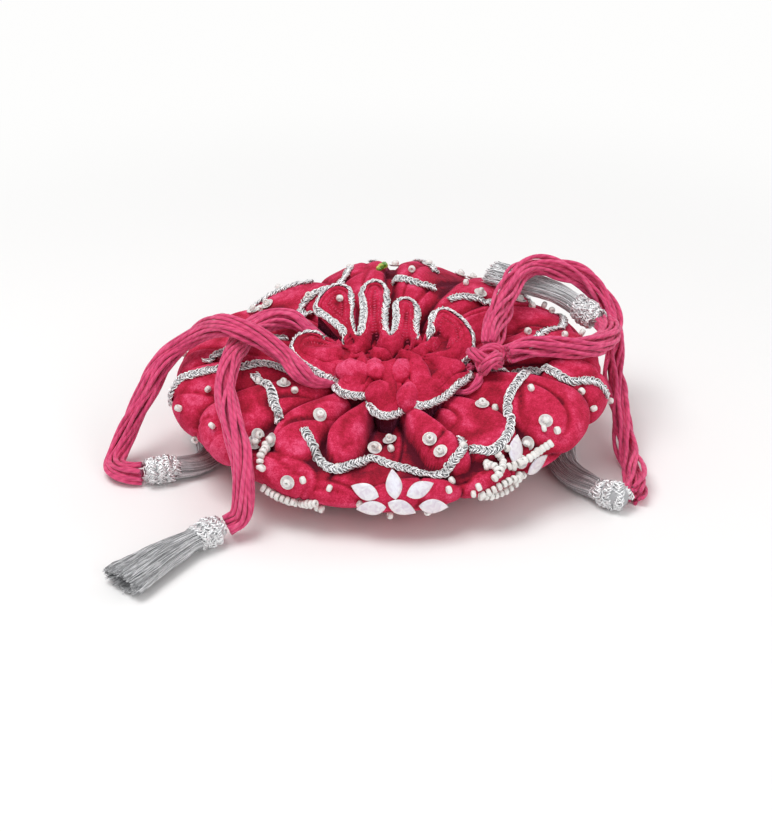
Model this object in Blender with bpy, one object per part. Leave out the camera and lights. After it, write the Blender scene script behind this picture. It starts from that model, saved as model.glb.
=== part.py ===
"""A drawn-shut velvet potli bag with a ruffled mouth, silver braid, beadwork, four drawstring ends and four tassels.

Frame: metres, +Z up, +Y away from the front. The bag stands on the middle of its flat base, at the origin.
"""

import math

import bmesh
import bpy
import numpy as np
from mathutils import Vector
from mathutils.bvhtree import BVHTree

MM = 0.001
GAP = 0.3 * MM

# Belly: each station of the profile gives radius and height at the sides, the back and the front, in mm.
PROFILE = (
    ((40, 0), (40, 0), (40, 0)),
    ((64, 5), (66, 6), (54, 3)),
    ((80, 14), (82, 18), (64, 8.5)),
    ((90, 28), (89, 33), (72.5, 17)),
    ((84, 39), (79, 48), (69, 23)),
    ((66, 43), (61, 56), (55, 26)),
    ((44, 41), (42, 56), (38, 28)),
    ((25, 36), (25, 48), (24, 27)),
)
# Where the belly sags or is pushed in: direction and half width in degrees, station and reach, change of radius and height.
SAGS = (
    (322, 28, 1.6, 1.2, -2.0, 8.0),
    (350, 16, 1.6, 1.2, -2.0, 3.0),
    (136, 30, 4.9, 1.7, -3.0, -7.0),
    (60, 12, 5.0, 1.5, 0.0, -4.0),
    (232, 24, 1.6, 1.3, -3.5, 2.0),
    (278, 20, 1.6, 1.4, -3.0, 2.0),
)

# Neck: two drawstring turns sit in a groove on a plane that leans towards the front.
NECK_HEIGHT = 38.0
NECK_LEAN = 0.45
NECK_RADIUS = 12.5
TURN_DIAMETER = 4.2
TURN_SPACING = 4.7
TURN_CLEARANCE = 0.5
GROOVE_HALF_HEIGHT = TURN_SPACING / 2 + TURN_DIAMETER / 2 + 0.8

# Frill: each lobe starts at the valley before it. The first number is where that valley meets the neck, in degrees, and
# the points give the rim seen from above, in mm, from the valley round the lobe.
FRILL_LOBES = (
    (-22, ((16, -6.5), (27, -5), (33.5, -1), (33.5, 6), (29.5, 12.5), (23, 16.5), (18, 13), (16.2, 7))),
    (22, ((14, 1.5), (12, 7), (12.4, 14), (10.5, 20), (6, 22), (2.6, 19.5), (2, 12))),
    (88, ((0.2, 4.5), (-1.6, 12), (-1.2, 21), (-2.6, 28), (-6.5, 30.5), (-10.6, 28.5), (-12.2, 22), (-12, 13))),
    (146, ((-13.8, 4.2), (-15.8, 12), (-16, 20), (-18.2, 26.5), (-23.5, 28.5), (-29, 24.5), (-31.5, 16.5), (-24, 8.5))),
    (178, ((-16, 0.5), (-24, 2), (-32, 4.5), (-38.5, 3), (-40.5, -3.5), (-36.5, -9.5), (-29, -13), (-21.5, -12))),
    (214, ((-14, -8.5), (-18.5, -14), (-21, -20.5), (-17, -24.5), (-10.5, -23.5), (-8, -17.5))),
    (243, ((-6.2, -9.5), (-5.4, -18), (-6.8, -27), (-4.2, -34), (1, -34.5), (4, -28.5), (3.4, -18))),
    (288, ((4.6, -9.5), (7, -18), (8.2, -26), (13, -30), (20, -27), (26.5, -20.5), (32.5, -15), (30, -10.5))),
)
FRILL_BASE_RADIUS = 14.5
FRILL_RISE = 12.5
WALL_OUT = 0.8
WALL_IN = 2.3
MOUTH_RADIUS = 7.5
MOUTH_RISE = 6.0
MOUTH_DEPTH = 3.5

# Belly folds: direction and half width in degrees, first and last station, height in mm, slant in degrees per station.
FOLDS = (
    (27, 12, 2.6, 7.2, 5.0, 1.5),
    (51, 11, 2.2, 7.3, 6.0, -1.0),
    (73, 14, 2.4, 7.2, 5.6, 0.0),
    (103, 12, 2.2, 7.1, 5.5, 1.5),
    (127, 12, 2.5, 7.3, 6.0, -1.5),
    (150, 11, 2.3, 7.2, 5.5, 1.0),
    (172, 11, 2.4, 7.2, 5.5, 0.0),
    (192, 9, 2.0, 6.9, 6.0, 1.0),
    (209, 10, 2.6, 6.8, 6.0, -1.0),
    (229, 10, 4.1, 7.5, 8.0, -3.0),
    (249, 8, 4.5, 7.6, 9.5, -1.0),
    (288, 8, 4.1, 7.3, 8.5, -4.0),
    (311, 12, 4.2, 6.6, 6.8, 2.0),
    (334, 12, 2.9, 6.9, 7.0, 1.0),
    (352, 8, 2.4, 5.0, 6.0, 0.0),
    (8, 10, 3.0, 7.1, 5.5, -1.0),
    (203, 14, 0.8, 3.1, 4.0, 0.0),
    (231, 13, 0.9, 4.3, 4.5, 3.0),
    (251, 9, 1.2, 3.4, 3.0, 0.0),
    (277, 16, 0.7, 4.2, 4.2, 0.0),
    (302, 9, 0.8, 3.9, 3.6, 0.0),
    (325, 13, 0.9, 3.0, 4.0, 0.0),
    (352, 13, 0.7, 3.0, 4.0, 0.0),
    (20, 14, 0.7, 3.0, 4.5, 0.0),
    (50, 14, 0.8, 2.8, 4.5, 0.0),
    (80, 15, 0.7, 3.0, 5.0, 0.0),
    (112, 15, 0.8, 2.9, 4.5, 0.0),
    (143, 15, 0.7, 3.0, 5.0, 0.0),
    (175, 14, 0.8, 2.9, 4.5, 0.0),
)

COLUMNS = 112
RIM_STEPS = 12
BELLY_ROWS = 17
FRILL_ROWS = 5
BASE_RADIUS_INNER = 20.0

# Braid on the rim: a soft knitted tape set on the edge.
RIM_BRAID_WIDTH = 2.6
RIM_BRAID_HEIGHT = 1.8

# Lattice braid: each run is a list of direction in degrees and station on the belly.
LATTICE_WIDTH = 4.4
LATTICE_THICKNESS = 0.8
LATTICE_STEP = 3.4
LATTICE_PROBE = 9.0
LATTICE_RUNS = {
    "lattice_left_top": ((189, 3.1), (189, 3.7), (191, 4.1), (192, 4.6), (193, 5.1), (191, 5.5), (196, 5.9)),
    "lattice_left_down": ((197, 5.2), (208, 5.3), (217, 5.1), (228, 4.8)),
    "lattice_front": ((236, 4.9), (243, 4.5), (250, 4.3), (256, 4.6), (262, 5.0), (270, 4.8), (277, 4.6), (284, 4.2),
                      (289, 4.2), (294, 4.5), (296, 4.9)),
    "lattice_right_down": ((345, 5.2), (339, 5.2), (329, 5.2), (323, 5.0), (314, 4.5), (306, 4.3), (300, 4.6)),
    "lattice_right_outer": ((340, 5.8), (350, 5.5), (353, 5.1), (348, 4.7), (346, 4.3), (349, 3.8), (350, 3.3)),
    "lattice_right_back": ((0, 5.2), (7, 5.0), (14, 4.5), (24, 3.9), (34, 3.4)),
    "lattice_back_right": ((50, 6.0), (45, 5.7), (38, 5.4), (30, 5.4)),
    "lattice_back_crest": ((87, 5.7), (83, 5.8), (77, 5.9), (71, 5.9), (64, 5.7)),
    "lattice_back_left": ((141, 5.7), (137, 5.3), (132, 5.1), (126, 5.2), (119, 5.5), (112, 5.1), (107, 4.6)),
    "lattice_left_back": ((184, 4.3), (178, 4.9), (171, 5.4), (165, 5.8)),
    "lattice_rear_1": ((38, 3.3), (45, 3.8), (51, 4.3)),
    "lattice_rear_2": ((68, 5.0), (78, 4.2), (88, 3.4), (98, 4.2)),
    "lattice_rear_3": ((122, 4.5), (134, 3.8), (146, 3.3), (158, 3.7), (170, 4.1)),
}

# Drawstring ends: points in mm with the bundle's radius there. They leave the neck as a tight twist and fan out.
CORD_POINT_SPACING = 6.5
CORDS = {
    "cord_left_back": (
        (-15.2, -10.3, 36, 1.8), (-20, -13, 38.5, 1.8), (-27, -16.8, 41.2, 1.9), (-33, -20, 44, 2.6), (-38, -19.5, 48.5, 4.2),
        (-43, -14.5, 52, 4.5), (-49, -12.5, 56, 4.5), (-56, -11, 60.5, 4.5), (-63, -9.5, 63.5, 4.5),
        (-69.5, -6.5, 63.5, 4.5), (-76, -2, 60, 4.5), (-83, 1.5, 55, 4.5), (-89.5, 3, 50, 4.5), (-96, 2, 44.5, 4.5),
        (-101.5, -1.5, 38, 4.5), (-106, -6, 30.5, 4.5), (-110, -9.5, 23, 4.5), (-113.8, -12.5, 14.5, 4.5),
        (-117.2, -16.5, 7.8, 4.5), (-118.8, -22.3, 5, 4.5), (-116.4, -27.9, 4.9, 4.5), (-111.3, -30.6, 4.9, 4.5),
        (-106.2, -31.1, 5.1, 4.5),
    ),
    "cord_left_front": (
        (-17.7, 2.4, 42, 1.8), (-23, 4, 44.5, 1.8), (-29.5, 8.5, 49, 2.4), (-36, 13, 51.6, 3.4), (-42, 16.5, 54.6, 4.5),
        (-49, 17, 55, 4.5), (-55, 13, 55, 4.5), (-60, 6.5, 54.8, 4.5), (-63.5, -1, 53.6, 4.5), (-65.5, -9, 52.8, 4.5),
        (-67, -17, 52.8, 4.5), (-68, -26, 50.5, 4.5), (-68, -35, 47, 4.5), (-66.5, -43.5, 43.5, 4.5),
        (-64, -50.5, 38.5, 4.5), (-61.5, -57, 33.5, 4.5), (-60, -62.5, 28, 4.5), (-59.4, -66.8, 22.2, 4.5),
        (-59.2, -69.9, 16.5, 4.5), (-59.8, -71.6, 11.8, 4.5), (-61.8, -72.4, 8.5, 4.5), (-66.1, -74.1, 6.6, 4.5),
    ),
    "cord_right_back": (
        (49.4, -9.2, 51.4, 4.3), (58.5, -5, 52, 4.5), (70, -3.5, 51.5, 4.5), (81, -0.5, 50, 4.5), (89.5, 5.5, 48, 4.5),
        (95, 14, 46.5, 4.5), (97, 23, 46, 4.5), (94.9, 31.3, 45.6, 4.5),
    ),
    "cord_right_front": (
        (42.5, -5, 53.3, 3.3), (43.5, -0.8, 54.9, 4.4), (45.2, 7, 57.2, 4.5), (48, 16, 59.4, 4.5), (51, 26.5, 61.6, 4.5), (54.5, 35.5, 64, 4.5),
        (59, 42, 65.8, 4.5), (65, 46.4, 66.4, 4.5), (73, 48.4, 65.4, 4.5), (82, 48.6, 62, 4.5), (90, 48, 57, 4.5),
        (96.5, 46.4, 50.4, 4.5), (100, 43, 43, 4.5), (101, 37, 36, 4.5), (100.5, 28, 30.5, 4.5), (100, 18, 26, 4.5),
        (100.5, 8, 21.5, 4.5), (101.3, -1, 15.5, 4.5), (102.4, -10, 10, 4.5), (103.6, -19, 6, 4.5), (104.6, -29, 4.9, 4.5),
        (104.4, -39, 4.9, 4.5), (100.8, -47.3, 4.9, 4.5),
    ),
    "lead_right_front": (
        (14.5, -10.15, 31.9, 1.2), (18, -12.6, 33.9, 1.2), (20.5, -14.3, 36.1, 1.2), (22.9, -16.1, 37.8, 1.2),
        (25.2, -18, 38.6, 1.2), (27.6, -19.8, 38.9, 1.2), (30, -21.6, 39.5, 1.2), (32.6, -23, 40.6, 1.3),
        (35.4, -22.8, 42.8, 1.4), (37.4, -20.4, 44.5, 1.4), (37.8, -17.4, 44.9, 1.4),
    ),
    "lead_right_side": (
        (17.1, -4.6, 34.3, 1.6), (20.3, -5.4, 35.4, 1.6), (24.1, -6.5, 37.3, 1.6), (27, -7.2, 38.8, 1.6),
        (29.9, -8.0, 40.3, 1.6), (32.4, -8.9, 42.4, 1.6), (34.2, -9.8, 45.0, 1.5), (34.6, -10, 46.2, 1.4),
    ),
}

# Overhand knot of the right pair.
KNOT_AT = (41, -12, 50.5)
KNOT_SCALE = 2.3
KNOT_STRAND_RADIUS = 1.5

# Tassels: points in mm with half width and half height, from the cap's neck to the ends of the threads.
CAP_RADIUS = 5.4
SKIRT_LEAD_IN = 2.0
SKIRT_SPACING = 9.0
TASSELS = {
    "left_back": (
        ((-104.4, -31, 5.4), (-101.3, -30.6, 6.1), (-95.8, -29.2, 6.2), (-91.9, -27.4, 5.7)),
        ((-90, -26.5, 5.2, 5.2, 4.6), (-85.4, -24, 4.8, 6.0, 4.2), (-81, -20.2, 4.2, 6.2, 3.6),
         (-78.4, -14.4, 3.8, 6.2, 3.2), (-79.4, -6, 3.5, 6.2, 2.9), (-82, 3, 3.5, 6.2, 2.9), (-84.4, 12, 3.5, 6.4, 2.9)),
    ),
    "left_front": (
        ((-68.6, -75.1, 6.2), (-71.1, -76.4, 6.2), (-75.5, -80, 6.2), (-78.9, -83.2, 6.2)),
        ((-80.2, -84.4, 5.8, 5.2, 5), (-85.4, -89.4, 5.8, 6.5, 5.4), (-90.4, -94.6, 5.8, 7.6, 5.4),
         (-94.8, -99.4, 5.6, 8.6, 5.2), (-98.8, -103.8, 5.4, 9.6, 5), (-102.3, -107.6, 5.2, 10.4, 4.8),
         (-105, -110.6, 5, 10.6, 4.6)),
    ),
    "right_back": (
        ((93.6, 33.6, 45.8), (91, 36, 46.4), (86.5, 39.5, 48.2), (82.5, 42, 50.2)),
        ((81, 43, 51, 5.2, 4.8), (75.5, 45.2, 53.6, 6.4, 4.4), (70, 47.5, 55, 7.4, 4.2), (64, 49.5, 56.2, 8.2, 4.2),
         (58, 52, 57, 8.6, 4.0), (52, 55, 57.6, 8.8, 3.8), (46, 58.5, 58, 8.8, 3.8)),
    ),
    "right_front": (
        ((98.4, -50.2, 5.6), (95.4, -51, 6.2), (90.4, -48.4, 6.2), (87.4, -44.6, 5.8)),
        ((86.3, -42.8, 5.2, 5.2, 4.8), (81.6, -37, 4.8, 6.2, 4.4), (77.4, -30, 4.4, 6.6, 3.9), (75, -22, 4.2, 6.6, 3.6),
         (74.6, -13, 4, 6.6, 3.4), (75.2, -4, 4, 6.8, 3.4), (76, 5, 4, 7, 3.4)),
    ),
}

# Beadwork, each at a direction and station: sequins under a seed bead, loose sequins, shell petals, bead strings.
SEED_RADIUS = 1.7
SEQUINS = ((207, 5.6), (220, 4.1), (235, 5.5), (262, 5.45), (270, 5.8), (285, 5.15), (318, 5.5), (325, 4.15))
SEQUIN_RADIUS = 3.0
SEQUIN_THICKNESS = 0.5
PETAL_LENGTH = 10.4
PETAL_WIDTH = 5.8
PETAL_THICKNESS = 1.0
PETAL_LEAN = 1.6
FLOWER_PETALS = {
    "top": ((269.5, 4.15), 90), "upper_left": ((262.5, 3.65), 170), "upper_right": ((277.5, 3.65), 12),
    "lower_left": ((263.8, 3.05), 190), "right": ((281.5, 3.1), 350), "middle": ((272, 3.15), 335),
    "side_upper": ((314, 4.2), 60), "side_lower": ((318.5, 3.0), 20),
}
BEAD_STRINGS = {
    "bead_string_left": ((225, 4.2), (228, 3.9), (231, 3.5)),
    "bead_string_left_low": ((232, 3.0), (236, 2.8), (240, 2.7), (245, 2.6), (249, 2.6)),
    "bead_string_right": ((303, 4.0), (303.6, 3.75), (302.6, 3.45)),
    "bead_string_right_low": ((297, 3.1), (301, 3.0), (306, 3.0), (311, 3.05)),
    "bead_string_right_side": ((323, 3.62), (319.5, 3.58), (316, 3.52)),
}
FACETED_BEADS_AT = (95, 5.2)
FACETED_RADIUS = 1.2
FACETED_LENGTH = 2.2

VELVET_RED = (0.52, 0.012, 0.055)
YARN_PINK = (0.62, 0.04, 0.13)
SILVER = (0.62, 0.62, 0.64)
SEED_WHITE = (0.86, 0.84, 0.8)
SHELL_WHITE = (0.84, 0.82, 0.86)
BEAD_GREEN = (0.36, 0.5, 0.04)


def material(name, colour, roughness, metallic=0.0):
    made = bpy.data.materials.new(name)
    made.use_nodes = True
    shader = made.node_tree.nodes["Principled BSDF"]
    shader.inputs["Base Color"].default_value = (*colour, 1.0)
    shader.inputs["Roughness"].default_value = roughness
    shader.inputs["Metallic"].default_value = metallic
    return made


def add_mesh(name, vertices, faces, finish):
    mesh = bpy.data.meshes.new(name)
    mesh.from_pydata([tuple(v) for v in vertices], [], faces)
    mesh.validate()
    mesh.shade_smooth()
    piece = bpy.data.objects.new(name, mesh)
    bpy.context.scene.collection.objects.link(piece)
    mesh.materials.append(finish)
    return piece


def smooth_row(values, at):
    """Catmull-Rom through evenly spaced values, at a fractional index."""
    last = len(values) - 1
    i = min(int(at), last - 1)
    t = at - i
    p0, p1 = values[max(i - 1, 0)], values[i]
    p2, p3 = values[i + 1], values[min(i + 2, last)]
    return 0.5 * (2 * p1 + (p2 - p0) * t + (2 * p0 - 5 * p1 + 4 * p2 - p3) * t**2
                  + (3 * p1 - p0 - 3 * p2 + p3) * t**3)


def turn_gap(a, b):
    """Signed angle from b to a in degrees, between -180 and 180."""
    return (a - b + 180.0) % 360.0 - 180.0


def profile_point(angle, station):
    """Radius and height of the unfolded belly, in mm."""
    sine = math.sin(math.radians(angle))
    weights = (1.0 - abs(sine) ** 1.3, max(sine, 0.0) ** 1.3, max(-sine, 0.0) ** 1.3)
    radius = height = 0.0
    for side, weight in enumerate(weights):
        radius += weight * smooth_row([row[side][0] for row in PROFILE], station)
        height += weight * smooth_row([row[side][1] for row in PROFILE], station)
    for centre, half_width, at, reach, wider, higher in SAGS:
        share = math.exp(-(turn_gap(angle, centre) / half_width) ** 2 - ((station - at) / reach) ** 2)
        share *= min(station, 1.0)
        radius += wider * share
        height += higher * share
    return radius, height


def fold_height(angle, station):
    """Height of the tallest fold over a point of the belly, in mm."""
    tallest = 0.0
    for centre, half_width, first, last, height, slant in FOLDS:
        middle, reach = (first + last) / 2, (last - first) / 2
        across = turn_gap(angle, centre + slant * (station - middle)) / half_width
        along = (station - middle) / reach
        inside = 1.0 - across**2 - along**4
        if inside > 0.0:
            tallest = max(tallest, height * math.sqrt(inside))
    return tallest


def belly_point(angle, station):
    """A point of the folded belly, in metres."""
    radius, height = profile_point(angle, station)
    step = 0.05
    r0, z0 = profile_point(angle, max(station - step, 0.0))
    r1, z1 = profile_point(angle, min(station + step, len(PROFILE) - 1.0))
    length = math.hypot(r1 - r0, z1 - z0)
    out, rise = (z1 - z0) / length, -(r1 - r0) / length
    puff = fold_height(angle, station)
    radius += out * puff
    height = max(height + rise * puff, 0.0)
    return polar(angle, radius, height)


def polar(angle, radius, height):
    turn = math.radians(angle)
    return Vector((radius * math.cos(turn), radius * math.sin(turn), height)) * MM


def neck_level(angle, radius):
    return NECK_HEIGHT + NECK_LEAN * radius * math.sin(math.radians(angle))


def catmull(points, per_span, closed):
    """Catmull-Rom points through a list of vectors, per_span of them on each span."""
    count = len(points)
    spans = count if closed else count - 1
    made = []
    for i in range(spans):
        if closed:
            p0, p1, p2, p3 = (points[(i + k) % count] for k in (-1, 0, 1, 2))
        else:
            p0, p1 = points[max(i - 1, 0)], points[i]
            p2, p3 = points[i + 1], points[min(i + 2, count - 1)]
        for k in range(per_span):
            t = k / per_span
            made.append(0.5 * (2 * p1 + (p2 - p0) * t + (2 * p0 - 5 * p1 + 4 * p2 - p3) * t**2
                               + (3 * p1 - p0 - 3 * p2 + p3) * t**3))
    if not closed:
        made.append(points[-1])
    return made


def frill_rim():
    """Fine points of the rim seen from above, and the neck angle that each is gathered to."""
    points, angles = [], []
    for i, (start, lobe) in enumerate(FRILL_LOBES):
        end = FRILL_LOBES[(i + 1) % len(FRILL_LOBES)][0]
        width = (end - start) % 360
        angles += [start + width * k / (len(lobe) * RIM_STEPS) for k in range(len(lobe) * RIM_STEPS)]
        points += [np.array(p, float) for p in lobe]
    rim = np.array(catmull(points, RIM_STEPS, True))
    return np.array(angles), rim


def gathered_columns(count):
    """Neck angle and rim point of each column of the cloth, evenly spaced along the rim."""
    angles, rim = frill_rim()
    closed = np.vstack((rim, rim[:1]))
    angles = np.append(angles, angles[0] + 360.0)
    walked = np.concatenate(([0.0], np.cumsum(np.linalg.norm(np.diff(closed, axis=0), axis=1))))
    even = 0.75 * walked / walked[-1] + 0.25 * (angles - angles[0]) / 360.0
    at = np.arange(count) / count
    columns = np.interp(at, even, angles)
    return columns, np.stack([np.interp(at, even, closed[:, k]) for k in (0, 1)], axis=1)


def frill_middle(columns, rim, share):
    """Middle of the frill's cloth at every column; share runs from 0 at its base to 1 at its rim."""
    turn = np.radians(columns)
    base = FRILL_BASE_RADIUS * np.stack((np.cos(turn), np.sin(turn)), axis=1)
    plan = base + (rim - base) * share**0.85
    start = GROOVE_HALF_HEIGHT + 1.0
    height = NECK_HEIGHT + NECK_LEAN * plan[:, 1] + start + (FRILL_RISE - start) * share
    return np.column_stack((plan, height)) * MM


def frill_walls(columns, rim):
    """Outer faces, rim and inner faces of the frill's cloth, and the rim's direction; thinner where it turns tightly."""
    shares = np.linspace(0.0, 1.0, FRILL_ROWS)
    grid = np.array([frill_middle(columns, rim, s) for s in shares])
    around = np.roll(grid, -1, axis=1) - np.roll(grid, 1, axis=1)
    up = np.gradient(grid, axis=0)
    normal = np.cross(around, up)
    normal /= np.linalg.norm(normal, axis=2, keepdims=True)
    bend = np.roll(grid, -1, axis=1) + np.roll(grid, 1, axis=1) - 2 * grid
    inward = -(bend * normal).sum(axis=2, keepdims=True)
    spread = (np.linalg.norm(around, axis=2, keepdims=True) / 2) ** 2
    taper = 0.15 + 0.85 * shares[:, None, None]
    outer_wall = np.minimum(WALL_OUT * MM * taper, 0.5 * spread / np.maximum(-inward, 1e-9))
    inner_wall = np.minimum(WALL_IN * MM * taper, 0.5 * spread / np.maximum(inward, 1e-9))
    tangent = around[-1] / np.linalg.norm(around[-1], axis=1, keepdims=True)
    rise = up[-1] - tangent * (up[-1] * tangent).sum(axis=1, keepdims=True)
    rise /= np.linalg.norm(rise, axis=1, keepdims=True)
    tip = grid[-1] + rise * 0.8 * MM - normal[-1] * (inner_wall[-1] - outer_wall[-1]) / 2
    return grid + normal * outer_wall, tip, grid - normal * inner_wall, rise, normal[-1]


def velvet_rings():
    angles, rim = gathered_columns(COLUMNS)
    stations = np.linspace(0.0, len(PROFILE) - 1.0, BELLY_ROWS)
    rings = [[polar(a, BASE_RADIUS_INNER, 0.0) for a in angles]]
    rings += [[belly_point(a, s) for a in angles] for s in stations]
    groove = (
        (NECK_RADIUS + TURN_CLEARANCE + TURN_DIAMETER + 0.4, -GROOVE_HALF_HEIGHT - 0.5),
        (NECK_RADIUS, -GROOVE_HALF_HEIGHT + 0.4),
        (NECK_RADIUS, 0.0),
        (NECK_RADIUS, GROOVE_HALF_HEIGHT - 1.0),
        (FRILL_BASE_RADIUS, GROOVE_HALF_HEIGHT + 0.6),
    )
    for radius, offset in groove:
        rings.append([polar(a, radius, neck_level(a, radius) + offset) for a in angles])
    outer, tip, inner, _, _ = frill_walls(angles, rim)
    rings += list(outer[1:]) + [tip] + list(inner[:1:-1])
    for radius, rise in ((MOUTH_RADIUS, MOUTH_RISE), (MOUTH_RADIUS / 2, MOUTH_RISE - MOUTH_DEPTH)):
        rings.append([polar(a, radius, neck_level(a, radius) + rise) for a in angles])
    return rings


def velvet_bag(finish):
    rings = velvet_rings()
    vertices = [v for ring in rings for v in ring]
    faces = []
    for row in range(len(rings) - 1):
        for i in range(COLUMNS):
            j = (i + 1) % COLUMNS
            low, high = row * COLUMNS, (row + 1) * COLUMNS
            faces.append((low + i, low + j, high + j, high + i))
    faces.append(tuple(range(COLUMNS - 1, -1, -1)))
    top = (len(rings) - 1) * COLUMNS
    faces.append(tuple(range(top, top + COLUMNS)))
    return add_mesh("velvet_bag", vertices, faces, finish)


def loft(name, sections, finish, closed=False):
    """One closed body through rings of points; a closed loft joins its last ring to its first."""
    count = len(sections[0])
    vertices = [v for ring in sections for v in ring]
    faces = []
    for row in range(len(sections) if closed else len(sections) - 1):
        low, high = row * count, (row + 1) % len(sections) * count
        for i in range(count):
            j = (i + 1) % count
            faces.append((low + i, low + j, high + j, high + i))
    if not closed:
        top = (len(sections) - 1) * count
        faces += [tuple(range(count - 1, -1, -1)), tuple(range(top, top + count))]
    piece = add_mesh(name, vertices, faces, finish)
    solid = bmesh.new()
    solid.from_mesh(piece.data)
    bmesh.ops.recalc_face_normals(solid, faces=solid.faces)
    if solid.calc_volume(signed=True) < 0:
        bmesh.ops.reverse_faces(solid, faces=solid.faces)
    solid.to_mesh(piece.data)
    solid.free()
    return piece


def rim_braid(angles, rim, finish):
    """Knitted tape set on the frill's edge, following every lobe."""
    _, tip, _, rise, across = frill_walls(angles, rim)
    half_width, half_height = RIM_BRAID_WIDTH / 2 * MM, RIM_BRAID_HEIGHT / 2 * MM
    centre = tip + rise * (GAP * 1.5 + half_height)
    sections = []
    for c, u, a in zip(centre, rise, across):
        corners = [math.radians(d) for d in range(0, 360, 60)]
        sections.append([c + a * half_width * math.cos(t) + u * half_height * math.sin(t) for t in corners])
    return loft("rim_braid", sections, finish, closed=True)


def spaced(points, spacing):
    """Points evenly spaced along a smooth curve through the given ones; each may carry extra values."""
    fine = np.array(catmull([np.array(p, float) for p in points], 16, False))
    walked = np.concatenate(([0.0], np.cumsum(np.linalg.norm(np.diff(fine[:, :3], axis=0), axis=1))))
    count = max(int(round(walked[-1] / spacing)), 2) + 1
    at = np.linspace(0.0, walked[-1], count)
    return np.stack([np.interp(at, walked, fine[:, k]) for k in range(fine.shape[1])], axis=1)


def on_belly(points, spacing_mm):
    """Points and smoothed normals on the velvet's surface along a run of directions and stations."""
    fine = catmull([np.array(p, float) for p in points], 10, False)
    spots = [belly_point(a, s) / MM for a, s in fine]
    run = spaced(spots, spacing_mm) * MM
    normals = [velvet_surface.find_nearest(Vector(p))[1] for p in run]
    reach = round(7.0 / spacing_mm)
    smooth = []
    for i in range(len(run)):
        near = normals[max(i - reach, 0):i + reach + 1]
        smooth.append(sum(near, Vector()).normalized())
    return [Vector(p) for p in run], smooth


def height_over(point, normal):
    """Height of the velvet over a point, along a normal, in metres."""
    probe = LATTICE_PROBE * MM
    hit = velvet_surface.ray_cast(point + normal * probe, -normal, 2 * probe)
    return probe - hit[3] if hit[0] else 0.0


def lattice_braid(name, points, finish):
    """Flat knitted tape laid over the folds, bridging the creases."""
    parts = 4
    run, normals = on_belly(points, LATTICE_STEP / parts)
    half = LATTICE_WIDTH / 2 * MM
    across = np.linspace(-1.0, 1.0, 9)
    sides, heights = [], []
    for i, (point, normal) in enumerate(zip(run, normals)):
        along = run[min(i + parts, len(run) - 1)] - run[max(i - parts, 0)]
        sides.append(normal.cross(along).normalized())
        heights.append([height_over(point + sides[i] * half * k, normal) for k in across])
    heights = np.array(heights)
    sections = []
    for i in range(0, len(run), parts):
        near = heights[max(i - parts, 0):i + parts + 1].max(axis=0)
        tallest = (near[:5].max(), near[2:7].max(), near[4:].max())
        low = [run[i] + sides[i] * half * k + normals[i] * (h + GAP * 1.5) for k, h in zip((-1.0, 0.0, 1.0), tallest)]
        high = [p + normals[i] * LATTICE_THICKNESS * MM for p in reversed(low)]
        sections.append(low + high)
    return loft(name, sections, finish)


def cord(name, points, finish):
    """A bundle of yarn as a tube along a smooth route, with its own radius at each point."""
    curve = bpy.data.curves.new(name, "CURVE")
    curve.dimensions = "3D"
    curve.bevel_depth = MM
    curve.bevel_resolution = 2
    curve.use_fill_caps = True
    line = curve.splines.new("POLY")
    route = spaced(points, CORD_POINT_SPACING if points[-1][3] > 3 else CORD_POINT_SPACING / 2)
    line.points.add(len(route) - 1)
    for spot, (x, y, z, radius) in zip(line.points, route):
        spot.co = (x * MM, y * MM, z * MM, 1.0)
        spot.radius = radius
    piece = bpy.data.objects.new(name, curve)
    bpy.context.scene.collection.objects.link(piece)
    curve.materials.append(finish)
    return piece


def ring(centre, direction, half_width, half_height, sides, flutes=0.0):
    """An upright oval ring across a direction, in metres; flutes deepen every second point."""
    flat = Vector((direction.y, -direction.x, 0.0)).normalized()
    up = flat.cross(direction).normalized()
    if up.z < 0:
        up = -up
    made = []
    for k in range(sides):
        turn = 2 * math.pi * k / sides
        share = 1.0 - flutes * (k % 2)
        made.append(centre + flat * half_width * share * math.cos(turn) + up * half_height * share * math.sin(turn))
    return made


def tube_of(name, stations, sides, finish, flutes=0.0):
    """A lofted oval tube through stations of centre, half width and half height, in mm."""
    centres = [Vector(s[:3]) for s in stations]
    sections = []
    for i, station in enumerate(stations):
        direction = centres[min(i + 1, len(centres) - 1)] - centres[max(i - 1, 0)]
        section = ring(centres[i], direction.normalized(), station[3], station[4], sides, flutes)
        sections.append([v * MM for v in section])
    return loft(name, sections, finish)


def tassel(name, cap_points, skirt_points, finish):
    """A crocheted cap with a beaded collar, and a skirt of threads that spreads to its cut ends."""
    shares = (0.72, 1.0, 1.02, 0.86)
    cap = [(*p, CAP_RADIUS * k, CAP_RADIUS * k) for p, k in zip(cap_points, shares)]
    tube_of("tassel_cap_" + name, cap, 12, finish)
    leaving = (Vector(cap_points[-1]) - Vector(cap_points[-2])).normalized()
    start = Vector(cap_points[-1]) + leaving * GAP / MM
    top = [(*(start + leaving * k), CAP_RADIUS * 0.93, CAP_RADIUS * 0.88) for k in (0.0, SKIRT_LEAD_IN)]
    skirt = [tuple(s) for s in spaced(top[1:] + list(skirt_points[1:]), SKIRT_SPACING)]
    tube_of("tassel_skirt_" + name, top[:1] + skirt, 16, finish, flutes=0.07)


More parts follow.
